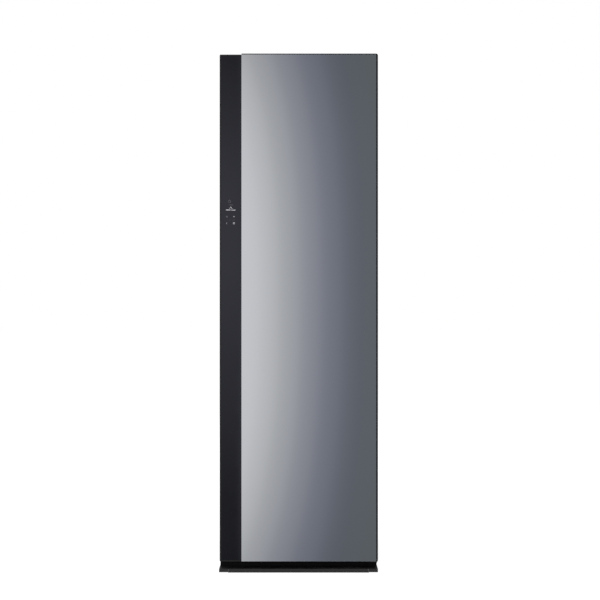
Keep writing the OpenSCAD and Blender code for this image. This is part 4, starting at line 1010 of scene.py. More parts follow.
@dataclass
class DoorShell(Assembly):
    """What is fitted to the door's edges and its inner face."""

    body: str = "door"
    half_w: float = 300.0
    foot_z: float = 38.0
    head_z: float = 1946.0
    liner_face: float = -240.0
    gasket_in: float = 15.0
    grip_z: float = 900.0
    cap_r: float = 5.5
    screw_y: float = -252.0

    def dress(self) -> None:
        """Fits the seal's folds, the grip's ribs, the caps, the screws and the top hinge's plate."""
        self._seal_folds()
        self._grip_ribs()
        self._liner_caps()
        self._edge_screws()
        self._top_hinge()

    def _seal_folds(self) -> None:
        """The magnetic seal's folded skin: a thin lip on each side of its bellows."""
        folds, width, corners = Shape(), 1.2, (8.0, 7.4)
        for inset, y0, y1 in ((1.2, -236.8, -236.2), (12.6, -236.8, -236.2), (2.4, -234.9, -234.4),
                              (11.6, -234.9, -234.4)):
            x, z = self.half_w - self.gasket_in - inset, self.gasket_in + inset
            folds.rim((-x, self.foot_z + z), (x, self.head_z - z), width, corners, Axis.Y, y0, y1)
        self.fit(folds, "seal_folds", "gasket_rubber", 0.2)

    def _grip_ribs(self) -> None:
        """Low ribs across the finger groove's inner face."""
        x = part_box("grip_insert")[1][0] / MM - 2.0
        ribs = Shape()
        for z in row(self.grip_z + 40.0, 20.0, 17):
            ribs.slab((x - 1.4, -264.0), (x + 0.4, -250.0), 0.6, Axis.Z, z - 2.0, z + 2.0, 3)
        self.fit(ribs, "grip_ribs", "frame_grey", 0.3)

    def _liner_caps(self) -> None:
        """Small round caps over the screws that hold the inner liner."""
        caps, y, r = Shape(), self.liner_face, self.cap_r
        for at in grid((-self.half_w + 46.0, self.half_w - 46.0), (90.0, 560.0, 1120.0, 1640.0, 1894.0)):
            caps.turn([(0.0, y - 0.5), (r, y - 0.5), (r, y + 0.5), (r - 1.2, y + 1.3), (0.0, y + 1.6)], at,
                      Axis.Y, 28)
        self.fit(caps, "liner_caps", "liner_white")

    def _edge_screws(self) -> None:
        """Screws along the door's free edge and its hinge edge, which hold the mirror's tray."""
        free = grid([self.screw_y], (120.0, 470.0, 820.0, 1390.0, 1640.0, 1880.0))
        hung = grid([self.screw_y], (120.0, 640.0, 1160.0, 1680.0, 1860.0))
        screws = Shape().screws(free, Axis.X, -self.half_w + 1.2, 3.2, -1)
        self.fit(screws.screws(hung, Axis.X, self.half_w, 3.2), "door_edge_screws", "latch_grey")

    def _top_hinge(self) -> None:
        """The plate over the door's top corner, and its two screws."""
        places = grid([244.0], (-280.0, -254.0))
        z, holes = self.head_z, [disc(at, 2.4) for at in places]
        plate = Shape().sheet(rounded((236.0, -288.0), (278.0, -246.0), 5.0), holes, Axis.Z, z, z + 1.2)
        self.fit(plate, "top_hinge_plate", "pan_steel", 0.3)
        self.fit(Shape().screws(places, Axis.Z, z + 0.4, 2.6), "top_hinge_screws", "bar_metal")


@dataclass
class TrouserPress(Assembly):
    """The trouser press's pads, pins, screws, springs and marks."""

    body: str = "door"
    board: tuple[Flat, Flat] = ((-212.0, 620.0), (212.0, 1500.0))
    board_face: float = -224.0
    hinge: Flat = (205.0, -216.0)
    plate_face: float = -210.0
    plate_left: float = -194.0
    plate_z: Flat = (654.0, 1466.0)
    latch_at: Flat = (-176.5, 1060.0)
    latch_face: float = -204.5
    clip_z: float = 1556.0
    clip_y: float = -224.0
    rail_face: float = -230.2

    def dress(self) -> None:
        """Fits every loose piece of the press."""
        self._board_pad()
        self._plate_rims()
        self._pins()
        self._screws()
        self._latch_pieces()
        self._clip_pieces()
        self._centimetre_marks()

    def _board_pad(self) -> None:
        """The pressing pad on the board, with rows of steam holes."""
        (x0, z0), (x1, z1) = self.board
        holes = [disc(at, 4.0, 14) for at in grid(range(-150, 151, 50), range(730, 1400, 60))]
        pad = Shape().sheet(rounded((x0 + 30.0, z0 + 42.0), (x1 - 30.0, z1 - 42.0), 12.0), holes, Axis.Y,
                            self.board_face, self.board_face + 1.2)
        self.fit(pad, "press_pad", "press_felt", 0.5)

    def _plate_rims(self) -> None:
        """A soft rim round the plate's outer face, and one along its free edge."""
        x, (z0, z1) = self.plate_left, self.plate_z
        face = Shape().rim((x + 10.0, z0 + 10.0), (190.0, z1 - 10.0), 5.0, (12.0, 9.0), Axis.Y,
                           self.plate_face - 0.4, self.plate_face + 0.5)
        self.fit(face, "plate_rim", "press_plate_grey", 0.3, "press_plate")
        edge = Shape().slab((x - 0.9, -220.0), (x + 0.6, -212.0), 0.7, Axis.Z, z0 + 16.0, z1 - 16.0, 3)
        self.fit(edge, "plate_edge_strip", "gasket_rubber", 0.0, "press_plate")

    def _pins(self) -> None:
        """The domed heads of the plate's pin, one at each ear."""
        for name, z, way in (("low", self.board[0][1] + 14.0, -1), ("high", self.board[1][1] - 14.0, 1)):
            head = Shape().turn([(0.0, z - way * 0.3), (4.6, z - way * 0.3), (4.6, z + way * 1.0),
                                 (3.6, z + way * 2.0), (0.0, z + way * 2.2)], self.hinge, Axis.Z, 28)
            self.fit(head, f"press_pin_{name}", "bar_metal")

    def _screws(self) -> None:
        """Screws that hold the board and the clip's rail to the liner."""
        (x0, z0), (x1, z1) = self.board
        corners = grid((x0 + 16.0, x1 - 32.0), (z0 + 20.0, z1 - 20.0))
        self.fit(Shape().screws(corners, Axis.Y, self.board_face - 0.3, 3.6), "press_screws", "bar_metal")
        rail = grid((-142.0, 142.0), [1509.0])
        self.fit(Shape().screws(rail, Axis.Y, self.rail_face, 3.0), "clip_rail_screws", "bar_metal")

    def _latch_pieces(self) -> None:
        """Ribs on the latch's arm, and the screw that it turns on."""
        (x, z), y, ribs = self.latch_at, self.latch_face, Shape()
        for rise in row(9.0, 3.0, 6):
            ribs.slab((x - 4.6, z + rise), (x + 4.6, z + rise + 1.4), 0.6, Axis.Y, y - 0.4, y + 0.7, 3)
        self.fit(ribs, "latch_ribs", "latch_grey", 0.15, "press_latch")
        screw = Shape().screws([(x, z)], Axis.Y, y - 0.2, 3.4)
        self.fit(screw, "latch_screw", "bar_metal", 0.0, "press_latch")

    def _clip_pieces(self) -> None:
        """The clip's two springs and the soft strip that it presses on."""
        y, z = self.rail_face, self.clip_z
        for name, x in (("left", -152.5), ("right", 149.0)):
            spring = Shape().coil((self.clip_y, z), Axis.X, 3.2, 0.5, 3.0, x, x + 3.5)
            self.fit(spring, f"clip_spring_{name}", "bar_metal")
        strip = Shape().slab((-146.0, z - 38.0), (146.0, z - 26.0), 3.0, Axis.Y, y, y + 1.0)
        self.fit(strip, "clip_soft_strip", "gasket_rubber", 0.2)

    def _centimetre_marks(self) -> None:
        """Raised marks down the board's edge, which help to line up a crease."""
        x, marks = self.board[0][0] + 3.0, Shape()
        for k, z in enumerate(row(self.board[0][1] + 120.0, 20.0, 33)):
            marks.slab((x, z - 0.5), (x + (4.0 if k % 5 else 7.0), z + 0.5), 0.4, Axis.Y,
                       self.board_face - 0.2, self.board_face + 0.35, 2)
        self.fit(marks, "crease_marks", "grille_grey")


# ---------------------------------------------------------------- cabinet


@dataclass
class SteelShell(Assembly):
    """What is fitted to the cabinet's outside: its screws, hinge bolts and rear pieces."""

    half_w: float = 300.0
    top_z: float = 1948.0
    rear_y: float = 290.0
    cover: tuple[Flat, Flat] = ((-210.0, 44.0), (210.0, 360.0))
    cover_back: float = 298.0
    louvres: int = 12
    gland_at: Flat = (-250.0, 70.0)
    bumper_at: Flat = (222.0, 1880.0)
    foam_cap_at: Flat = (140.0, 210.0)
    hinge_bolts: tuple[Flat, ...] = ((272.0, -186.0), (288.0, -186.0), (280.0, -216.0))

    def dress(self) -> None:
        """Fits every piece of the shell."""
        self._back_screws()
        self._louvre_blades()
        self._gland_and_earth()
        self._wall_bumpers()
        self._top_fittings()

    def _back_screws(self) -> None:
        """Screws of the back panel and of its louvred cover."""
        (x0, z0), (x1, z1) = self.cover
        edge = self.half_w - 9.0
        back = grid((-edge, edge), row(70.0, 228.0, 9)) + grid((-180.0, -60.0, 60.0, 180.0), [1934.0])
        self.fit(Shape().screws(back, Axis.Y, self.rear_y, 4.0), "back_screws", "bar_metal")
        held = grid((x0 + 8.0, 0.0, x1 - 8.0), (z0 + 8.0, z1 - 8.0))
        self.fit(Shape().screws(held, Axis.Y, self.cover_back - 0.5, 3.4), "cover_screws", "latch_grey")

    def _louvre_blades(self) -> None:
        """A slanted blade in each of the cover's slots, and the dust gauze behind them."""
        (x0, z0), (x1, z1) = self.cover
        pitch = (z1 - z0 - 40.0) / self.louvres
        y, half, blades = self.cover_back, x1 / 3, Shape()
        for x, z in grid((x0 / 2, x1 / 2), row(z0 + 20.0 + 0.72 * pitch, pitch, self.louvres)):
            blades.pull([(y, z - 1.0), (y + 1.2, z - 3.4), (y + 1.2, z - 4.6), (y - 0.6, z - 4.0),
                         (y - 5.4, z + 1.2), (y - 4.4, z + 2.4)], Axis.X, x - half, x + half)
        self.fit(blades, "louvre_blades", "cover_plastic", 0.3)
        gauze = Shape().slab((x0 + 6.0, z0 + 6.0), (x1 - 6.0, z1 - 6.0), 4.0, Axis.Y, self.rear_y + 0.6,
                             self.rear_y + 1.0)
        self.fit(gauze, "louvre_gauze", "louvre_gauze")

    def _gland_and_earth(self) -> None:
        """Grip ribs round the gland's nut, and a brass earthing screw with its toothed washer."""
        (x, z), y = self.gland_at, self.rear_y
        ribs = Shape().pegs(disc((x, z), 14.0, 18), 0.9, 8, Axis.Y, y + 0.4, y + 3.8)
        self.fit(ribs, "gland_ribs", "cover_plastic", 0.15)
        at = (x + 26.0, z - 4.0)
        teeth = [p for pair in zip(disc(at, 5.2, 8), disc(at, 6.2, 8, 22.5)) for p in pair]
        washer = Shape().sheet(teeth, [disc(at, 2.4, 16)], Axis.Y, y - 0.1, y + 0.7)
        self.fit(washer, "earth_washer", "bar_metal")
        self.fit(Shape().screws([at], Axis.Y, y + 0.6, 4.2), "earth_screw", "drive_brass")

    def _wall_bumpers(self) -> None:
        """Soft bumpers that keep the back off the wall."""
        y, bumpers = self.rear_y, Shape()
        for side in (-1, 1):
            bumpers.turn([(0.0, y - 0.2), (15.0, y - 0.2), (15.0, y + 2.0), (12.6, y + 4.0), (12.0, y + 7.0),
                          (9.6, y + 7.9), (4.0, y + 7.9), (3.2, y + 5.0), (0.0, y + 5.0)],
                         (side * self.bumper_at[0], self.bumper_at[1]), Axis.Y, 36)
        self.fit(bumpers, "wall_bumpers", "gasket_rubber")

    def _top_fittings(self) -> None:
        """The top panel's screws, caps over the foam's filling holes, and the upper hinge's bolts."""
        x, y, z, caps = self.half_w - 22.0, self.rear_y - 14.0, self.top_z, Shape()
        screws = Shape().screws(grid((-x, x), (-170.0, y)) + [(0.0, y)], Axis.Z, z, 4.0)
        self.fit(screws, "top_screws", "latch_grey")
        for side in (-1, 1):
            caps.turn([(0.0, z - 0.2), (11.0, z - 0.2), (11.0, z + 0.8), (9.8, z + 1.6), (7.0, z + 1.7),
                       (6.4, z + 1.1), (0.0, z + 1.1)],
                      (side * self.foam_cap_at[0], self.foam_cap_at[1]), Axis.Z, 32)
        self.fit(caps, "foam_caps", "cover_plastic")
        bolts = Shape().screws(self.hinge_bolts, Axis.Z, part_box("hinge_upper")[1][2] / MM, 3.6)
        self.fit(bolts, "hinge_bolts_upper", "bar_metal")


@dataclass
class Plinth(Assembly):
    """The plinth's screws, its pale end beads as a painted highlight, and the finger ribs of the four feet.
    """

    pan_foot: float = 14.5
    pad_r: float = 20.0
    bead_x: float = 264.2
    bead_y: Flat = (-298.25, -297.6)
    bead_z: Flat = (2.2, 13.9)

    def dress(self) -> None:
        """Fits the pan's screws, the pale beads beside the corner caps as a painted highlight, and every
        foot's ribs.
        """
        beads, (y0, y1) = Shape(), self.bead_y
        for x in (-self.bead_x, self.bead_x):
            beads.pull([(x - 1.2, y0), (x + 1.2, y0), (x + 1.2, y1), (x - 1.2, y1)], Axis.Z, *self.bead_z)
        self.fit(beads, "plinth_end_beads", "plinth_edge", 0.15)
        places = grid((-200.0, 0.0, 200.0), (-150.0, 120.0, 250.0))
        self.fit(Shape().screws(places, Axis.Z, self.pan_foot, 4.0, -1), "pan_screws", "bar_metal")
        for foot in ("front_left", "front_right", "rear_left", "rear_right"):
            lo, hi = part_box("foot_" + foot)
            ring_at = disc(((lo[0] + hi[0]) / 2 / MM, (lo[1] + hi[1]) / 2 / MM), self.pad_r - 0.3, 24)
            self.fit(Shape().pegs(ring_at, 0.9, 8, Axis.Z, 0.8, 5.2), "ribs_" + foot, "foot_plastic", 0.15,
                     "foot_" + foot)


@dataclass
class CareChamber(Assembly):
    """What is fitted inside the chamber: lamp, sensor, caps, filters and gratings."""

    in_w: float = 255.0
    in_back: float = 238.0
    floor_z: float = 400.0
    ceil_z: float = 1830.0
    lamp: tuple[Flat, Flat] = ((-60.0, -180.0), (60.0, -150.0))
    lint: tuple[Flat, Flat] = ((22.0, -4.0), (202.0, 56.0))
    aroma: tuple[Flat, Flat] = ((-202.0, -4.0), (-110.0, 36.0))
    vent: tuple[Flat, Flat] = ((-150.0, 152.0), (150.0, 212.0))
    nozzle_at: Flat = (-44.0, 26.0)
    sensor_at: Flat = (12.0, 1640.0)

    def dress(self) -> None:
        """Fits every piece of the chamber."""
        self._lamp()
        self._liner_caps()
        self._climate_sensor()
        self._duct_screws()
        self._rail_stops()
        self._shelf_trim()
        self._lint_filter()
        self._aroma_case()
        self._vent_fittings()
        self._nozzle_seal()

    def _lamp(self) -> None:
        """The lamp's frame round its lens, and the row of lights in it."""
        (x0, y0), (x1, y1), z = *self.lamp, self.ceil_z
        trim = Shape().rim((x0 - 6.0, y0 - 6.0), (x1 + 6.0, y1 + 6.0), 6.1, (13.0, 8.0), Axis.Z,
                           z - 3.4, z + 0.1)
        self.fit(trim, "lamp_frame", "liner_white", 0.8)
        glow = Shape()
        for x in row(x0 + 12.0, 12.0, 9):
            glow.turn([(0.0, z - 6.5), (2.6, z - 6.2), (3.4, z - 5.6), (0.0, z - 5.4)], (x, (y0 + y1) / 2),
                      Axis.Z, 20)
        self.fit(glow, "lamp_lights", "lamp_light")

    def _liner_caps(self) -> None:
        """Round caps over the screws that hold the side and back liners."""
        caps = Shape()
        side = grid((-218.0, 224.0), (620.0, 1210.0, 1812.0))
        back = grid((-241.0, 241.0), (450.0, 1120.0, 1800.0))
        for way, wall, axis, centres in ((-1, -self.in_w, Axis.X, side), (1, self.in_w, Axis.X, side),
                                         (1, self.in_back, Axis.Y, back)):
            for at in centres:
                caps.turn([(0.0, wall + way), (5.0, wall + way), (5.0, wall - way * 0.5),
                           (4.0, wall - way * 1.3), (0.0, wall - way * 1.6)], at, axis, 26)
        self.fit(caps, "liner_caps_inside", "liner_white")

    def _climate_sensor(self) -> None:
        """The humidity sensor's domed and slotted cover on the right wall."""
        (y, z), x = self.sensor_at, self.in_w - 1.5
        dome = Shape().turn([(0.0, x + 1.0), (17.0, x + 1.0), (17.0, x - 2.0), (15.6, x - 4.4),
                             (12.0, x - 5.6), (0.0, x - 6.0)], (y, z), Axis.X, 44)
        self.fit(dome, "climate_sensor", "grille_grey", 0.3)
        slots = Shape()
        for k in range(-2, 3):
            at, half = y + 4.0 * k, 8.5 - abs(k) * 1.7
            slots.slab((at - 0.8, z - half), (at + 0.8, z + half), 0.7, Axis.X, x - 6.3, x - 5.0, 3)
        self.fit(slots, "sensor_slots", "cover_plastic")

    def _duct_screws(self) -> None:
        """Screws that hold the air duct's cover."""
        screws = Shape().screws(grid((-40.0, 40.0), (572.0, 1288.0)), Axis.Y, self.in_back - 15.0, 3.2, -1)
        self.fit(screws, "duct_screws", "bar_metal")

    def _rail_stops(self) -> None:
        """Small stops at the rails' ends that keep the shelf in its place."""
        stops = Shape()
        for x, y in grid((-255.2, 245.0), (-196.0, 191.5)):
            stops.slab((x, y), (x + 10.2, y + 4.5), 1.4, Axis.Z, 511.0, 525.0, 3)
        self.fit(stops, "rail_stops", "liner_white", 0.5)

    def _shelf_trim(self) -> None:
        """A bright strip along the shelf's front and a soft pad at each corner."""
        lo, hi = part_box("shelf")
        y, top, pads = lo[1] / MM, hi[2] / MM, Shape()
        strip = Shape().slab((-232.0, top - 8.6), (232.0, top - 3.4), 1.4, Axis.Y, y - 0.7, y + 0.3, 3)
        self.fit(strip, "shelf_strip", "bar_metal", 0.2, "shelf")
        for x, mid in grid((-240.0, 240.0), (-168.0, 168.0)):
            pads.slab((x - 4.0, mid - 12.0), (x + 4.0, mid + 12.0), 3.6, Axis.Z, top - 0.2, top + 0.8)
        self.fit(pads, "shelf_pads", "gasket_rubber", 0.2, "shelf")

    def _lint_filter(self) -> None:
        """The filter's mesh inside its basket, the ribs of its pull and its rim."""
        (x0, y0), (x1, y1), z = *self.lint, self.floor_z
        mesh, ribs, middle = Shape(), Shape(), (y0 + y1) / 2
        for y in (y0 + 9.0, y1 - 9.0):
            mesh.slab((x0 + 1.0, z - 78.0), (x1 - 1.0, z - 16.0), 2.0, Axis.Y, y - 0.2, y + 0.2)
        self.fit(mesh, "filter_mesh", "filter_mesh", 0.0, "lint_filter")
        for x in row((x0 + x1) / 2 - 25.0, 5.0, 11):
            ribs.slab((x - 1.0, middle - 3.8), (x + 1.0, middle + 3.8), 0.8, Axis.Z, z + 5.0, z + 11.0, 3)
        self.fit(ribs, "filter_pull_ribs", "filter_grey", 0.2, "lint_filter")
        rim = Shape().rim((x0 - 5.0, y0 - 5.0), (x1 + 5.0, y1 + 5.0), 6.0, (5.0, 3.0), Axis.Z,
                          z + 3.8, z + 4.8)
        self.fit(rim, "filter_rim", "filter_grey", 0.3, "lint_filter")

    def _aroma_case(self) -> None:
        """The aroma sheet under the case's slots, and its small catch."""
        (x0, y0), (x1, y1), z = *self.aroma, self.floor_z
        middle = (y0 + y1) / 2
        sheet = Shape().slab((x0 + 6.0, y0 + 6.0), (x1 - 6.0, y1 - 6.0), 2.0, Axis.Z, z - 9.0, z - 7.0)
        self.fit(sheet, "aroma_sheet", "press_felt", 0.0, "aroma_case")
        catch = Shape().pull([(x1 - 2.0, z + 3.9), (x1 + 6.0, z + 3.9), (x1 + 6.0, z + 8.0),
                              (x1 + 4.5, z + 8.6), (x1 - 2.0, z + 5.0)], Axis.Y, middle - 9.0, middle + 9.0)
        self.fit(catch, "aroma_catch", "latch_grey", 0.5, "aroma_case")

    def _vent_fittings(self) -> None:
        """The gauze under the steam grille's blades, and the grille's screws."""
        (x0, y0), (x1, y1), z = *self.vent, self.floor_z
        gauze = Shape().slab((x0 + 4.0, y0 + 4.0), (x1 - 4.0, y1 - 4.0), 2.0, Axis.Z, z - 14.4, z - 14.0)
        self.fit(gauze, "vent_gauze", "floor_gauze")
        screws = Shape().screws(grid((x0 - 4.0, x1 + 4.0), (y0 + 6.0, y1 - 6.0)), Axis.Z, z + 3.8, 2.8)
        self.fit(screws, "vent_screws", "bar_metal")

    def _nozzle_seal(self) -> None:
        """The soft seal round the steam nozzle, and the ring of holes in its cap."""
        at, z = self.nozzle_at, self.floor_z
        seal = Shape().turn([(14.2, z - 0.2), (18.5, z - 0.2), (18.5, z + 1.0), (17.0, z + 2.0),
                             (14.2, z + 2.2)], at, Axis.Z, 40)
        self.fit(seal, "nozzle_seal", "gasket_rubber")
        holes = Shape().pegs([at], 1.6, 14, Axis.Z, z + 3.6, z + 4.15)
        holes.pegs(disc(at, 8.0, 8), 1.3, 12, Axis.Z, z + 3.6, z + 4.15)
        self.fit(holes, "nozzle_holes", "cover_plastic")


@dataclass
class HangerDrive(Assembly):
    """The moving hanger's rings, ends and skirt, and what is fitted to its motor."""

    bar_z: float = 1745.0
    bar_r: float = 10.0
    bar_half: float = 228.0
    ceil_z: float = 1830.0
    guide_x: float = 195.0
    grooves: int = 6
    pitch: float = 48.0
    crank_y: float = 60.0
    bracket_z: float = 1856.0
    stem_r: float = 8.8

    def dress(self) -> None:
        """Fits every piece of the drive."""
        self._bar_rings_and_ends()
        self._stem_skirt()
        self._guide_fittings()
        self._motor_fittings()
        self._motor_wires()

    def _bar_rings_and_ends(self) -> None:
        """A soft ring on each side of every hook groove, and domed caps on the bar's ends."""
        r, at, rings, caps = self.bar_r, (0.0, self.bar_z), Shape(), Shape()
        for middle in row(-(self.grooves - 1) / 2 * self.pitch, self.pitch, self.grooves):
            for x in (middle - 6.2, middle + 4.6):
                rings.turn([(r - 0.3, x), (r + 0.6, x), (r + 0.9, x + 0.8), (r + 0.6, x + 1.6),
                            (r - 0.3, x + 1.6)], at, Axis.X, 36)
        self.fit(rings, "bar_rings", "gasket_rubber", 0.0, "hanger_bar")
        dome = ((0.0, -1.0), (r + 0.5, -1.0), (r + 0.5, 1.2), (r - 1.0, 2.6), (r - 5.0, 3.4), (0.0, 3.6))
        for side in (-1, 1):
            caps.turn([(u, side * (self.bar_half + rise)) for u, rise in dome], at, Axis.X, 36)
        self.fit(caps, "bar_ends", "latch_grey", 0.0, "hanger_bar")

    def _stem_skirt(self) -> None:
        """The rubber skirt that shuts the ceiling's window, the stem's folded collar and its clamp."""
        top, z, r, middle = self.ceil_z, self.bar_z, self.stem_r, (0.0, 0.0)
        skirt = Shape().sheet(rounded((-57.0, -20.0), (57.0, 20.0), 8.0), [disc(middle, r, 32)], Axis.Z,
                              top - 2.6, top - 0.4)
        self.fit(skirt, "stem_skirt", "gasket_rubber", 0.6, "hanger_bar")
        profile = [(r, top - 2.0), (15.0, top - 2.0)]
        for k, fold in enumerate(row(top - 4.0, -4.4, 4)):
            profile += [(14.0 - k, fold), (14.6 - k, fold - 1.2), (12.4 - k, fold - 2.8)]
        profile += [(9.6, top - 21.5), (r, top - 21.5)]
        self.fit(Shape().turn(profile, middle, Axis.Z, 40), "stem_collar", "gasket_rubber", 0.0, "hanger_bar")
        clamp = Shape().turn([(9.0, z + 8.0), (14.5, z + 8.0), (15.0, z + 8.8), (15.0, z + 17.0),
                              (14.0, z + 18.0), (9.0, z + 18.6)], middle, Axis.Z, 44)
        self.fit(clamp, "stem_clamp", "latch_grey", 0.0, "hanger_bar")

    def _guide_fittings(self) -> None:
        """Screws that hold the guides to the ceiling, and the liners that the bar runs in."""
        middles, liners = (-self.guide_x, self.guide_x), Shape()
        places = grid([x + dx for x in middles for dx in (-15.5, 15.5)], (-21.0, 21.0))
        self.fit(Shape().screws(places, Axis.Z, self.ceil_z - 5.0, 3.4, -1), "guide_screws", "bar_metal")
        for x in (middle + dx for middle in middles for dx in (-8.8, 7.6)):
            liners.turn(ring(self.bar_r + 0.12, self.bar_r + 3.4, x, x + 1.2), (0.0, self.bar_z), Axis.X, 40)
        self.fit(liners, "guide_liners", "nylon")

    def _motor_fittings(self) -> None:
        """Cooling rings, screws and the plug on the drive's motor."""
        y, z, rings = self.crank_y, self.bracket_z, Shape()
        for low in row(z + 10.0, 6.0, 6):
            rings.turn(ring(29.8, 31.4, low, low + 2.4), (0.0, y), Axis.Z, 48)
        self.fit(rings, "motor_rings", "motor_metal")
        screws = Shape().screws(disc((0.0, y), 22.0, 4, 45.0), Axis.Z, z + 48.0, 2.6)
        self.fit(screws, "motor_screws", "bar_metal")
        plug = Shape().slab((-9.0, y + 28.0), (9.0, y + 40.0), 2.0, Axis.Z, z + 14.0, z + 28.0)
        self.fit(plug, "motor_plug", "connector_ivory", 0.6)

    def _motor_wires(self) -> None:
        """Three wires from the motor's plug to the back of the drive's bay."""
        y, z, wires = self.crank_y, self.ceil_z, Shape()
        for k, x in enumerate((-5.0, 0.0, 5.0)):
            path = [(x, y + 39.0, self.bracket_z + 21.0), (x, y + 56.0, self.bracket_z + 19.0 - k),
                    (x * 1.6 + 18.0, y + 88.0, self.bracket_z + 3.0), (x * 1.4 + 60.0, y + 132.0, z + 8.2),
                    (x * 1.2 + 150.0, y + 160.0, z + 7.8)]
            wires.tube(swept(path), 1.2, 8)
        self.fit(wires, "motor_wires", "latch_grey")


class Tank(Enum):
    """The two tanks: the side that each stands on and how high its water is."""

    SUPPLY = ("supply_tank", -1, 236.0)
    DRAIN = ("drain_tank", 1, 112.0)


@dataclass
class WaterTanks(Assembly):
    """The two tanks' marks, caps, valves and water."""

    inner_x: float = 8.0
    outer_x: float = 249.0
    front_y: float = -200.0
    back_y: float = -40.0
    deck_z: float = 66.0
    top_z: float = 352.0
    cap_r: float = 24.0
    wall: float = 2.7

    def dress(self) -> None:
        """Fits both tanks."""
        for tank in Tank:
            self.body, side, level = tank.value
            middle = side * (self.inner_x + self.outer_x) / 2
            self._level_marks(side)
            self._cap_and_valve(middle)
            self._water(middle, level)
            self._sign(middle, tank)

    def _level_marks(self, side: int) -> None:
        """Prints a column of level marks beside the tank's inner corner.

        Args:
            side: -1 for the left tank, 1 for the right one.
        """
        marks, inner, y = Shape(), self.inner_x, self.front_y
        for k, z in enumerate(row(92.0, 15.0, 9)):
            x0, x1 = sorted((side * (inner + 24.0), side * (inner + (36.0 if k % 4 else 46.0))))
            marks.slab((x0, z - 0.9), (x1, z + 0.9), 0.8, Axis.Y, y - 0.35, y + 0.2, 3)
        self.fit(marks, self.body + "_marks", "printed_mark")

    def _cap_and_valve(self, x: float) -> None:
        """Fits the filler cap's grip ribs and raised ring, and the valve low on the tank's back.

        Args:
            x: The tank's middle.
        """
        at, z, y = (x, (self.front_y + self.back_y) / 2), self.top_z, self.back_y
        ribs = Shape().pegs(disc(at, self.cap_r - 0.2, 26), 1.0, 8, Axis.Z, z + 4.0, z + 11.0)
        ribs.turn(ring(15.0, 18.0, z + 11.8, z + 12.8), at, Axis.Z, 40)
        self.fit(ribs, self.body + "_cap_ribs", "latch_grey", 0.2)
        valve = Shape().turn([(0.0, y - 0.5), (11.0, y - 0.5), (11.0, y + 1.6), (7.5, y + 2.2),
                              (7.0, y + 5.0), (3.0, y + 5.4), (0.0, y + 5.4)],
                             (x, self.deck_z + 22.0), Axis.Y, 32)
        self.fit(valve, self.body + "_valve", "latch_grey", 0.2)

    def _water(self, x: float, level: float) -> None:
        """Fills a tank.

        Args:
            x: The tank's middle.
            level: How high the water stands.
        """
        half, wall = (self.outer_x - self.inner_x) / 2 - self.wall, self.wall
        water = Shape().slab((x - half, self.front_y + wall), (x + half, self.back_y - wall), 17.3, Axis.Z,
                             self.deck_z + wall, level)
        self.fit(water, self.body + "_water", "tank_water", 0.5)

    def _sign(self, x: float, tank: Tank) -> None:
        """Prints a drop on the supply tank, and a drop in a ring on the drain tank.

        Args:
            x: The tank's middle.
            tank: Which tank.
        """
        z, ink = 248.0, (Axis.Y, self.front_y - 0.3, self.front_y + 0.2)
        tip = [(x + 2.6, z + 7.4), (x, z + 12.0), (x - 2.6, z + 7.4)]
        sign = Shape().pull(bow((x, z - 3.0), 7.0, range(-215, 36, 10)) + tip, *ink)
        if tank is Tank.DRAIN:
            sign.arc((x, z), 15.0, 1.4, -80.0, 260.0, *ink)
        self.fit(sign, self.body + "_sign", "printed_mark")


# ---------------------------------------------------------------- machine space


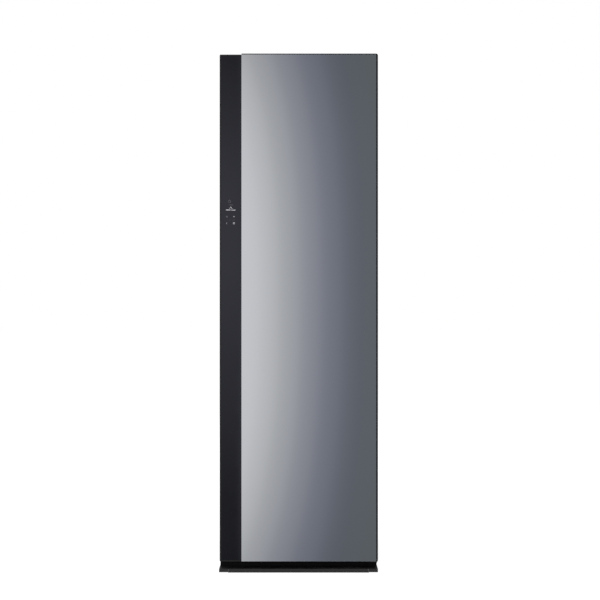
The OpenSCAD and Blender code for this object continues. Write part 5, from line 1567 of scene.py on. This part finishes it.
@dataclass
class MachineSpace(Assembly):
    """Pipes, hoses, wires and small fittings round the heat pump, the boiler and the blower."""

    compressor_at: Flat = (163.0, 134.5)
    shell_r: float = 55.0
    boiler_at: Flat = (-44.0, 26.0)
    boiler_r: float = 38.0
    blower_at: Flat = (-152.5, 143.0)
    motor_y: float = 210.0
    coil_ends: Flat = (-61.0, 92.0)
    box_at: tuple[Point, Point] = ((96.0, 74.0, 298.0), (242.0, 222.0, 362.0))

    def dress(self) -> None:
        """Fits every piece of the machine space."""
        self._pipes()
        self._capillary()
        self._hoses()
        self._compressor_fittings()
        self._boiler_fittings()
        self._blower_fittings()
        self._control_box()
        self._wires()

    def _run(self, name: str, finish: str, radius: float, *paths: Sequence[Point]) -> None:
        """Lays pipes, hoses or wires of one kind.

        Args:
            name: The piece's name.
            finish: The title of its finish.
            radius: The radius of one line.
            *paths: The points that each line goes through.
        """
        run = Shape()
        for path in paths:
            run.tube(swept(path), radius)
        self.fit(run, name, finish)

    def _pipes(self) -> None:
        """The copper pipes from the compressor to the condenser and back from the evaporator."""
        (x, y), right = self.compressor_at, self.coil_ends[1]
        self._run("copper_pipes", "copper_pipe", 4.0,
                  [(x, y, 240.0), (x, y, 262.0), (152.0, 146.0, 274.0), (120.0, 164.0, 262.0),
                   (99.0, 173.0, 234.0), (right, 173.0, 218.2)],
                  [(right, 111.0, 218.2), (103.0, 98.0, 240.0), (140.0, 84.0, 252.0), (196.0, 96.0, 248.0),
                   (216.0, 150.0, 238.0), (190.0, 190.0, 226.0), (x, 195.5, 212.0), (x, 195.5, 188.0)])

    def _capillary(self) -> None:
        """The coiled capillary between the two heat exchangers."""
        end, wire = self.coil_ends[0], 1.4
        tube = Shape().coil((-92.0, 158.0), Axis.Z, 13.0, wire, 4.25, 22.0, 36.0)
        tube.tube(swept([(-79.0, 158.0, 22.0), (-70.0, 176.0, 26.0), (end, 189.0, 34.8)]), wire, 8)
        tube.tube(swept([(-92.0, 171.0, 36.0), (-76.0, 150.0, 44.0), (end, 127.0, 34.8)]), wire, 8)
        self.fit(tube, "capillary", "copper_pipe")

    def _hoses(self) -> None:
        """The water hoses from the supply tank to the pump and the boiler, and from the drain."""
        x, y = self.boiler_at
        self._run("water_hoses", "gasket_rubber", 4.2,
                  [(-128.5, -21.0, 88.0), (-128.5, -6.0, 84.0), (-108.0, -2.0, 56.0), (-60.0, -15.0, 32.0),
                   (-10.0, -12.0, 30.0), (12.0, 16.0, 42.0), (28.0, y, 56.5)],
                  [(44.0, y, 92.0), (44.0, y, 114.0), (28.0, y, 126.0), (8.0, y, 120.0),
                   (x + self.boiler_r - 2.0, y, 110.0)],
                  [(128.5, -21.0, 88.0), (128.5, -4.0, 82.0), (120.0, 14.0, 44.0), (108.0, 44.0, 26.0),
                   (102.0, 74.0, 22.0), (78.0, 92.0, 24.0)])
        clips = Shape().turn(ring(4.3, 5.6, -4.0, 2.0), (y, 110.0), Axis.X, 28)
        clips.turn(ring(4.3, 5.6, 95.0, 101.0), (44.0, y), Axis.Z, 28)
        self.fit(clips, "hose_clips", "bar_metal", 0.3)

    def _compressor_fittings(self) -> None:
        """The compressor's weld seam, terminal cover and bolts."""
        (x, y), r = self.compressor_at, self.shell_r
        seam = Shape().turn([(r - 0.3, 150.0), (r + 2.4, 151.0), (r + 2.4, 155.0), (r - 0.3, 156.0)], (x, y),
                            Axis.Z, 64)
        self.fit(seam, "compressor_seam", "compressor_black", 0.5)
        cover = Shape().slab((x - 17.0, 92.0), (x + 17.0, 138.0), 6.0, Axis.Y, y - r - 14.0, y - r + 4.0)
        self.fit(cover, "terminal_cover", "cover_plastic", 2.0)
        bolts = Shape()
        for at in disc((x, y), 67.0, 3, 30.0):
            bolts.pull(disc(at, 5.0, 6, 15.0), Axis.Z, 33.5, 38.0)
        self.fit(bolts, "grommet_bolts", "bar_metal", 0.4)

    def _boiler_fittings(self) -> None:
        """Bands, heater ends and the thermostat on the boiler."""
        (x, y), r, bands, ends = self.boiler_at, self.boiler_r, Shape(), Shape()
        for z in (72.0, 134.0):
            bands.turn(ring(r - 0.2, r + 1.0, z, z + 8.0), (x, y), Axis.Z, 56)
        self.fit(bands, "boiler_bands", "bar_metal", 0.2)
        for dx in (-16.0, 16.0):
            ends.turn([(0.0, 164.0), (4.0, 164.0), (4.0, 172.0), (2.0, 173.0), (2.0, 180.0), (0.0, 180.0)],
                      (x + dx, y - 14.0), Axis.Z, 20)
        ends.turn([(0.0, 165.5), (10.0, 165.5), (10.0, 171.0), (7.0, 172.5), (0.0, 172.5)],
                  (x - 12.0, y + 14.0), Axis.Z, 30)
        self.fit(ends, "boiler_terminals", "connector_ivory", 0.3)

    def _blower_fittings(self) -> None:
        """The blower motor's ribs and the screws of its housing."""
        ribs = Shape()
        for y in row(self.motor_y + 8.0, 6.0, 4):
            ribs.turn(ring(25.8, 27.6, y, y + 2.0), self.blower_at, Axis.Y, 48)
        self.fit(ribs, "blower_motor_ribs", "motor_metal", 0.3)
        places = disc(self.blower_at, 62.0, 6, 20.0)
        self.fit(Shape().screws(places, Axis.Y, self.motor_y, 3.2), "blower_screws", "bar_metal")

    def _control_box(self) -> None:
        """The control box under the chamber's floor: a ribbed cover with its plugs and posts."""
        (x0, y0, z0), (x1, y1, z1) = self.box_at
        ribs, plugs, posts, top = Shape(), Shape(), Shape(), 384.9
        self.fit(Shape().slab((x0, y0), (x1, y1), 8.0, Axis.Z, z0, z1), "control_box", "cover_plastic", 2.0)
        for x in row(x0 + 17.0, 14.0, 9):
            ribs.slab((x - 1.5, y0 + 14.0), (x + 1.5, y1 - 14.0), 1.3, Axis.Z, z0 - 2.5, z0 + 0.5, 3)
        self.fit(ribs, "control_box_ribs", "cover_plastic", 0.4)
        for y in row(y0 + 20.0, 26.0, 5):
            plugs.slab((y - 8.0, z0 + 12.0), (y + 8.0, z0 + 26.0), 1.6, Axis.X, x0 - 7.0, x0 + 0.5, 3)
        self.fit(plugs, "control_plugs", "connector_ivory", 0.5)
        for at in grid((x0 + 12.0, x1 - 12.0), (y0 + 12.0, y1 - 12.0)):
            posts.turn([(0.0, z1 - 0.5), (5.0, z1 - 0.5), (4.2, z1 + 4.0), (4.2, top), (0.0, top)], at,
                       Axis.Z, 20)
        self.fit(posts, "control_posts", "nylon")

    def _wires(self) -> None:
        """Wires from the control box to the compressor, the boiler and the blower."""
        x0, y0, z0 = self.box_at[0]
        (x, _), (boil_x, boil_y) = self.compressor_at, self.boiler_at
        self._run("control_wires", "latch_grey", 2.0,
                  [(x0 - 6.0, y0 + 20.0, z0 + 19.0), (x0 - 22.0, y0 + 12.0, z0 + 4.0),
                   (x0 - 4.0, 70.0, 250.0), (136.0, 66.0, 200.0), (x, 68.0, 160.0), (x, 70.0, 136.0)],
                  [(x0 - 6.0, y0 + 46.0, z0 + 19.0), (60.0, 100.0, z0 + 4.0), (10.0, 60.0, 262.0),
                   (-26.0, 22.0, 220.0), (boil_x + 16.0, boil_y - 14.0, 178.0)],
                  [(x0 - 6.0, y0 + 72.0, z0 + 19.0), (50.0, 150.0, z0 + 8.0), (-20.0, 214.0, 290.0),
                   (-90.0, 236.0, 240.0), (-130.0, 240.0, 180.0), (-146.0, 240.0, 166.0)])


# ---------------------------------------------------------------- studio


@dataclass(frozen=True)
class Lamp:
    """One soft square lamp that gloss doesn't see."""

    name: str
    at: Point
    aim: Point
    width: float
    power: float

    def hang(self) -> None:
        """Makes the lamp, turned towards its aim."""
        data = bpy.data.lights.new(self.name, "AREA")
        data.shape = "SQUARE"
        data.size = self.width
        data.energy = self.power
        lamp = bpy.data.objects.new(self.name, data)
        lamp.location = self.at
        lamp.rotation_euler = (Vector(self.aim) - Vector(self.at)).to_track_quat("-Z", "Y").to_euler()
        lamp.visible_glossy = lamp.visible_camera = False
        bpy.context.scene.collection.objects.link(lamp)


@dataclass
class Studio:
    """Pale floor, soft lamps, a graded wall for gloss to mirror, and the camera."""

    eye: Point = (0.0057, -4.095, 1.0296)
    lens: float = 60.348
    wall_radius: float = 5.1
    wall_foot: float = -3.2
    wall_top: float = 5.6
    floor_half: float = 30.0
    horizon: float = 1.03
    bend_rise: float = 2.26
    bend_most: float = 1.3
    near_stops: tuple[Flat, ...] = ((-16, 0.55), (-9, 0.61), (-5.8, 0.615), (-3.8, 0.552), (-1.9, 0.409),
                                    (0.1, 0.261), (2.1, 0.136), (4.1, 0.052), (6.1, 0.006), (16, 0.02))
    far_stops: tuple[Flat, ...] = ((-180, 0.46), (-140, 0.3), (-100, 0.25), (-55, 0.5), (-16, 0.55),
                                   (16, 0.02), (22, 0.02), (48, 0.42), (80, 0.5), (115, 0.22),
                                   (150, 0.3), (180, 0.46))
    join_at: Flat = (14.0, 16.0)
    darkest: Colour = (0.142, 0.158, 0.168)
    brightest: Colour = (1.142, 1.148, 1.18)
    cool_at: float = 3.8
    cool_reach: float = 5.4
    cool_tint: Colour = (1.0, 1.0, 1.15)
    board_near: Flat = (-5.78, -5.54)
    board_far: Flat = (-12.0, -9.0)
    board_low: Flat = (-1.7, 0.25)
    board_high: Flat = (0.9, 2.05)
    fade: Flat = (2.35, 4.2)
    faded: Colour = (1.16, 1.16, 1.16)
    daylight: float = 0.42
    floor_glow: float = 0.825
    lamps: tuple[Lamp, ...] = (Lamp("key_lamp", (-2.3, -3.3, 2.9), (0, 0, 1.0), 2.4, 62.0),
                               Lamp("fill_lamp", (2.9, -2.6, 2.0), (0, 0, 0.9), 2.2, 30.0),
                               Lamp("back_lamp", (-1.4, 3.6, 2.7), (0, 0, 1.0), 2.4, 48.0),
                               Lamp("top_lamp", (0.4, 0.2, 4.4), (0, 0, 1.9), 2.6, 30.0))

    def build(self) -> None:
        """Builds the camera first, then the world, the floor, the wall and the lamps."""
        bpy.context.scene.view_settings.view_transform = "Standard"
        self._camera()
        self._world()
        self._floor()
        self._wall()
        for lamp in self.lamps:
            lamp.hang()
        log.info("studio: camera, world, floor, wall and %d lamps", len(self.lamps))

    def _camera(self) -> None:
        """Makes the level camera in front of the door."""
        data = bpy.data.cameras.new("front_camera")
        data.lens = self.lens
        data.sensor_width = 36.0
        data.clip_end = 60.0
        camera = bpy.data.objects.new("front_camera", data)
        camera.location = self.eye
        camera.rotation_euler = (math.radians(90), 0.0, 0.0)
        bpy.context.scene.collection.objects.link(camera)
        bpy.context.scene.camera = camera

    def _world(self) -> None:
        """White where it is seen, plain soft daylight where it lights."""
        world = bpy.data.worlds.new("white_room")
        world.use_nodes = True
        world.node_tree.nodes.clear()
        desk = Desk(world.node_tree)
        path = desk.add("LightPath").outputs
        seen = desk.sum("MAXIMUM", desk.sum("MAXIMUM", path["Is Camera Ray"], path["Is Glossy Ray"]),
                        path["Is Transmission Ray"])
        back = desk.add("Background", (1.0, 1.0, 1.0), desk.spread(seen, 0.0, 1.0, self.daylight, 1.0))
        desk.add("OutputWorld", back.outputs[0])
        bpy.context.scene.world = world

    def _stage(self, name: str, points: Sequence[Point], faces: Sequence[Sequence[int]],
               skin: Callable[[Desk], Socket]) -> bpy.types.Object:
        """Makes a piece of the stage.

        Args:
            name: Its name.
            points: Its corners.
            faces: Its faces, each by the numbers of its corners.
            skin: What builds its shader and returns it.

        Returns:
            The new object.
        """
        data = bpy.data.meshes.new(name)
        data.from_pydata(points, [], faces)
        made = bpy.data.materials.new(name)
        made.use_nodes = True
        made.node_tree.nodes.clear()
        desk = Desk(made.node_tree)
        desk.add("OutputMaterial", skin(desk))
        data.materials.append(made)
        thing = bpy.data.objects.new(name, data)
        bpy.context.scene.collection.objects.link(thing)
        return thing

    def _floor(self) -> None:
        """A wide pale floor that is white to the eye and keeps the cabinet's shadow."""
        wide = self.floor_half
        corners = [(-wide, -wide, 0), (wide, -wide, 0), (wide, wide, 0), (-wide, wide, 0)]
        self._stage("studio_floor", corners, [(0, 1, 2, 3)], self._floor_skin).visible_glossy = False

    def _floor_skin(self, desk: Desk) -> Socket:
        """Builds the floor's shader.

        Args:
            desk: The floor's nodes.

        Returns:
            A matt grey, with a glow that only the camera sees.
        """
        matt = desk.add("BsdfDiffuse", (0.42, 0.42, 0.42))
        seen = desk.add("LightPath").outputs["Is Camera Ray"]
        glow = desk.add("Emission", (1.0, 1.0, 1.0), desk.spread(seen, 0.0, 1.0, 0.0, self.floor_glow))
        return desk.add("AddShader", matt.outputs[0], glow.outputs[0]).outputs[0]

    def _wall(self) -> None:
        """A round wall that only gloss sees: bright to the left and dark to the right."""
        steps = 96
        circle = disc((0.0, 0.0), self.wall_radius, steps)
        points = [(v, -u, z) for z in (self.wall_foot, self.wall_top) for u, v in circle]
        faces = [(i, (i + 1) % steps, steps + (i + 1) % steps, steps + i) for i in range(steps)]
        wall = self._stage("studio_wall", points, faces, self._wall_skin)
        wall.visible_camera = wall.visible_diffuse = wall.visible_transmission = False
        wall.visible_shadow = wall.visible_volume_scatter = False

    def _wall_skin(self, desk: Desk) -> Socket:
        """Builds the wall's shader.

        Args:
            desk: The wall's nodes.

        Returns:
            Its glow, graded round the wall and up it.
        """
        place = desk.add("SeparateXYZ", desk.place()).outputs
        turn = desk.sum("ARCTAN2", place["X"], desk.sum("MULTIPLY", place["Y"], -1.0))
        height = desk.sum("SUBTRACT", place["Z"], self.horizon)
        rise = desk.sum("ABSOLUTE", height)
        far_up = desk.sum("POWER", desk.sum("DIVIDE", rise, self.bend_rise), 2.4)
        away = desk.sum("MINIMUM", far_up, self.bend_most)
        bend = desk.sum("MULTIPLY", away, desk.sum("MULTIPLY_ADD", turn, -0.17, 0.0506))
        lean = desk.sum("ADD", turn, bend)
        near, far = self._ramp(desk, lean, self.near_stops), self._ramp(desk, turn, self.far_stops)
        side = desk.spread(desk.sum("ABSOLUTE", turn), *map(math.radians, self.join_at), 0.0, 1.0)
        tint = desk.blend(desk.blend(side, near, far), self.darkest, self.brightest)
        off = desk.sum("ABSOLUTE", desk.sum("SUBTRACT", lean, math.radians(self.cool_at)))
        cool = desk.spread(off, 0.0, math.radians(self.cool_reach), 1.0, 0.0)
        tint = desk.blend(desk.sum("SMOOTH_MIN", cool, 1.0, 0.4), tint, self.cool_tint, "MULTIPLY")
        board = desk.sum("MULTIPLY", desk.spread(turn, *map(math.radians, self.board_near), 1.0, 0.0),
                         desk.spread(turn, *map(math.radians, self.board_far), 0.0, 1.0))
        shade = desk.sum("MAXIMUM", desk.spread(height, *self.board_low, 0.63, 0.0),
                         desk.spread(height, *self.board_high, 0.0, 0.46))
        fade = desk.spread(rise, *self.fade, 0.0, 1.0)
        board = desk.sum("MULTIPLY", board, desk.sum("SUBTRACT", 1.0, fade))
        dim = desk.sum("SUBTRACT", 1.0, desk.sum("MULTIPLY", board, shade))
        return desk.add("Emission", desk.blend(fade, tint, self.faded),
                        desk.sum("MULTIPLY", desk.sum("MULTIPLY_ADD", away, -0.11, 1.0), dim)).outputs[0]

    def _ramp(self, desk: Desk, turn: Any, stops: Sequence[Flat]) -> Socket:
        """Runs a number smoothly from stop to stop round the wall.

        Args:
            desk: The wall's nodes.
            turn: The turn round the wall, in radians.
            stops: Each stop's degrees and number, from one side to as far on the other.

        Returns:
            The number.
        """
        reach = stops[-1][0]
        ramp = desk.add("ValToRGB", desk.spread(turn, -math.radians(reach), math.radians(reach), 0.0, 1.0))
        ramp.color_ramp.interpolation = "CARDINAL"
        points = ramp.color_ramp.elements
        for i, (angle, value) in enumerate(stops):
            at = (angle + reach) / (2 * reach)
            stop = points[i] if i < 2 else points.new(at)
            stop.position = at
            stop.color = (value, value, value, 1.0)
        return ramp.outputs["Color"]


# ---------------------------------------------------------------- the whole cabinet


FINISHES: tuple[Finish, ...] = (
    SilveredGlass("mirror_glass", (0.72, 0.725, 0.74), 0.012),
    PrintedGlass("black_glass", (0.0045, 0.0045, 0.005), 0.035),
    Moulding("bezel_black", (0.007, 0.007, 0.008), 0.34, grain=900.0, strength=0.12, rub=0.03,
             worn=(0.04, 0.04, 0.045), dust=0.0, specular=0.22),
    Moulding("strip_black", (0.008, 0.008, 0.009), 0.32, grain=900.0, strength=0.1, rub=0.03,
             worn=(0.04, 0.04, 0.045), dust=0.0, specular=0.4),
    Moulding("frame_grey", (0.03, 0.031, 0.034), 0.42, grain=800.0, rub=0.3, worn=(0.12, 0.12, 0.125)),
    Foam("foam", (0.78, 0.72, 0.52), 0.85),
    Moulding("liner_white", (0.72, 0.73, 0.72), 0.3, grain=350.0, strength=0.08, rub=0.05,
             worn=(0.8, 0.8, 0.79), drift=0.008, dust=0.0, swing=0.015, coat=0.15),
    Moulding("gasket_rubber", (0.11, 0.11, 0.115), 0.62, grain=500.0, strength=0.3, rub=0.3,
             worn=(0.2, 0.2, 0.2), dust=0.2, specular=0.35),
    Moulding("nylon", (0.68, 0.66, 0.58), 0.4, grain=500.0, rub=0.2, worn=(0.75, 0.74, 0.7)),
    Moulding("press_white", (0.62, 0.62, 0.61), 0.42, grain=520.0, strength=0.3, rub=0.1,
             worn=(0.72, 0.72, 0.71), drift=0.012, dust=0.0, swing=0.02),
    Moulding("press_plate_grey", (0.42, 0.42, 0.43), 0.36, grain=420.0, strength=0.25, rub=0.25,
             worn=(0.6, 0.6, 0.6), drift=0.03),
    Moulding("latch_grey", (0.06, 0.06, 0.064), 0.4, grain=700.0, rub=0.35, worn=(0.2, 0.2, 0.2)),
    # Black paint on the pan, sill and hinges, made darker than paint as painted shade for the recess under
    # the door.
    PaintedSteel("pan_steel", (0.004, 0.004, 0.0044), 0.55, peel=320.0, rub=0.05, worn=(0.03, 0.03, 0.03),
                 dust=0.0, specular=0.2, coat=0.0),
    # The plinth's near-black dust on upward faces is painted shade: the lip's top, under the door, drawn dark
    # as if in its shadow.
    Moulding("plinth_grey", (0.023, 0.0225, 0.022), 0.46, grain=700.0, rub=0.06, worn=(0.05, 0.05, 0.05),
             dust=0.92, settled=(0.0015, 0.0015, 0.0015), low=0.001, specular=0.4),
    Moulding("foot_plastic", (0.02, 0.02, 0.02), 0.5, grain=600.0, rub=0.3, worn=(0.09, 0.09, 0.09),
             dust=0.2),
    PaintedSteel("panel_steel", (0.045, 0.046, 0.05), 0.36, peel=420.0, worn=(0.16, 0.16, 0.17)),
    BareMetal("back_steel", (0.52, 0.54, 0.55), 0.34, lines=(1.0, 1.0, 14.0), scale=40.0, strength=0.06,
              flakes=75.0, contrast=0.05, drift=0.02, swing=0.03),
    Moulding("cover_plastic", (0.03, 0.03, 0.032), 0.5, grain=600.0, rub=0.3, worn=(0.13, 0.13, 0.13),
             dust=0.18),
    SmokedPlastic("lens", (0.93, 0.92, 0.88), 0.38, clear=0.35, glow=(1.0, 0.95, 0.86), glow_strength=0.8),
    Moulding("grille_grey", (0.2, 0.205, 0.21), 0.4, grain=600.0, rub=0.3, worn=(0.34, 0.34, 0.34)),
    Moulding("filter_grey", (0.07, 0.071, 0.075), 0.42, grain=650.0, rub=0.3, worn=(0.2, 0.2, 0.2)),
    BareMetal("bar_metal", (0.66, 0.67, 0.68), 0.27, lines=(1.0, 60.0, 60.0), scale=60.0, strength=0.12),
    BareMetal("drive_brass", (0.72, 0.52, 0.24), 0.3, lines=(30.0, 30.0, 30.0), scale=20.0, strength=0.15),
    PaintedSteel("motor_metal", (0.22, 0.22, 0.225), 0.38, peel=300.0, worn=(0.45, 0.45, 0.45)),
    SmokedPlastic("tank_plastic", (0.5, 0.55, 0.58), 0.17, clear=0.75),
    PaintedSteel("compressor_black", (0.012, 0.012, 0.013), 0.22, peel=90.0, coat=0.6,
                 worn=(0.1, 0.1, 0.1)),
    BareMetal("coil_aluminium", (0.62, 0.64, 0.66), 0.36, lines=(1.0, 30.0, 1.0), scale=60.0),
    BareMetal("boiler_steel", (0.58, 0.58, 0.58), 0.26, lines=(2.0, 2.0, 60.0), scale=40.0, strength=0.15),
    CircuitBoard("circuit", (0.02, 0.14, 0.06), 0.35),
    LitPrint("black_glass", (0.5, 0.5, 0.52), 0.4, "print_bright", glow_strength=0.28),
    LitPrint("black_glass", (0.42, 0.42, 0.44), 0.4, "print_clear", glow_strength=0.26),
    LitPrint("black_glass", (0.25, 0.25, 0.26), 0.4, "print_soft", glow_strength=0.2),
    LitPrint("black_glass", (0.14, 0.14, 0.145), 0.4, "print_dim", glow_strength=0.16),
    Moulding("press_plate_grey", (0.3, 0.31, 0.33), 0.78, "press_felt", grain=1500.0, depth=0.0004,
             strength=0.6, rub=0.0, drift=0.08, swing=0.05, specular=0.25),
    BareMetal("bar_metal", (0.72, 0.38, 0.24), 0.3, "copper_pipe", lines=(20.0, 20.0, 20.0), scale=25.0,
              strength=0.1),
    Screen("filter_grey", (0.34, 0.35, 0.36), 0.5, "filter_mesh", pitch=420.0, upright=True),
    Screen("cover_plastic", (0.12, 0.12, 0.125), 0.4, "louvre_gauze", pitch=300.0, upright=True),
    Screen("cover_plastic", (0.12, 0.12, 0.125), 0.4, "floor_gauze", pitch=300.0),
    SmokedPlastic("tank_plastic", (0.62, 0.76, 0.84), 0.04, "tank_water", clear=0.92),
    SmokedPlastic("lens", (1.0, 0.98, 0.92), 0.5, "lamp_light", clear=0.1, glow=(1.0, 0.95, 0.84),
                  glow_strength=1.2),
    Moulding("liner_white", (0.34, 0.35, 0.36), 0.5, "printed_mark", grain=900.0, rub=0.0, drift=0.04),
    # Pale grey for the plinth's end beads: a painted highlight for the light line where the corner caps join.
    Moulding("plinth_grey", (0.11, 0.11, 0.112), 0.4, "plinth_edge", grain=700.0, rub=0.0, dust=0.0),
    Moulding("circuit", (0.62, 0.6, 0.54), 0.4, "connector_ivory", grain=700.0, rub=0.1,
             worn=(0.7, 0.68, 0.6)),
)


@dataclass
class Wardrobe:
    """Holds every finish by its title, or by its slot, and gives the frame's own nodes theirs."""

    shelf: EffectShelf = field(default_factory=EffectShelf)
    made: dict[str, bpy.types.Material] = field(default_factory=dict)
    soft_edges: dict[str, float] = field(default_factory=lambda: {
        "door_mirror": 0.5, "mirror_bezel": 0.4, "control_glass": 0.4, "strip_tray": 0.4,
        "door_frame": 0.8, "grip_insert": 0.6, "door_liner": 1.6, "press_base": 1.5, "press_plate": 1.2,
        "press_latch": 0.6, "hem_clip": 0.4, "plinth_front": 0.8, "corner_cap_left": 0.9,
        "corner_cap_right": 0.9, "side_panel_left": 0.7, "side_panel_right": 0.7, "top_panel": 0.7,
        "rear_cover": 0.8, "chamber_side_left": 1.5, "chamber_side_right": 1.5, "chamber_floor": 1.5,
        "tank_bay": 1.2, "duct_cover": 1.0, "lamp_lens": 0.8, "steam_grille": 0.5, "shelf": 0.8,
        "lint_filter": 0.6, "aroma_case": 0.6, "hanger_bar": 0.5, "bar_guides": 0.6,
        "supply_tank": 2.0, "drain_tank": 2.0, "base_pan": 0.5, "front_header": 0.5, "front_sill": 0.5,
        "door_gasket": 0.7, "hinge_upper": 0.35, "hinge_lower": 0.35,
    })

    def dress_frame(self) -> None:
        """Makes every finish and gives it to the nodes that have its slot."""
        for finish in FINISHES:
            self.made[finish.title or finish.slot] = finish.material(self.shelf)
        slots = {p["node"]: p["material_slot"] for p in frame["record"]["subparts"]}
        for name, node in frame["nodes"].items():
            for place in node.material_slots:
                place.material = self.made[slots[name]]
            if name in self.soft_edges:
                self._soften(node, self.soft_edges[name] * MM)
        log.info("frame: %d nodes in %d finishes", len(slots), len(self.made))

    def _soften(self, node: bpy.types.Object, width: float) -> None:
        """Rounds a node's sharp edges a little, so that they catch the light.

        Args:
            node: The node.
            width: How wide the rounding is, in metres.
        """
        node.modifiers.new("weld", "WELD").merge_threshold = 0.00001
        bevel = node.modifiers.new("soft_edge", "BEVEL")
        bevel.width, bevel.segments = width, 2
        bevel.limit_method, bevel.angle_limit = "ANGLE", math.radians(34)
        node.data.polygons.foreach_set("use_smooth", [True] * len(node.data.polygons))
        node.modifiers.new("weighted_normal", "WEIGHTED_NORMAL").keep_sharp = False


def main() -> None:
    """Builds the studio and every sub-assembly in order."""
    logging.basicConfig(level=logging.INFO, format="%(name)s: %(message)s")
    Studio().build()
    wardrobe = Wardrobe()
    wardrobe.dress_frame()
    for assembly in (TouchStrip, DoorShell, TrouserPress, SteelShell, Plinth, CareChamber, HangerDrive,
                     WaterTanks, MachineSpace):
        assembly(wardrobe).dress()


if __name__ == "__main__":
    main()
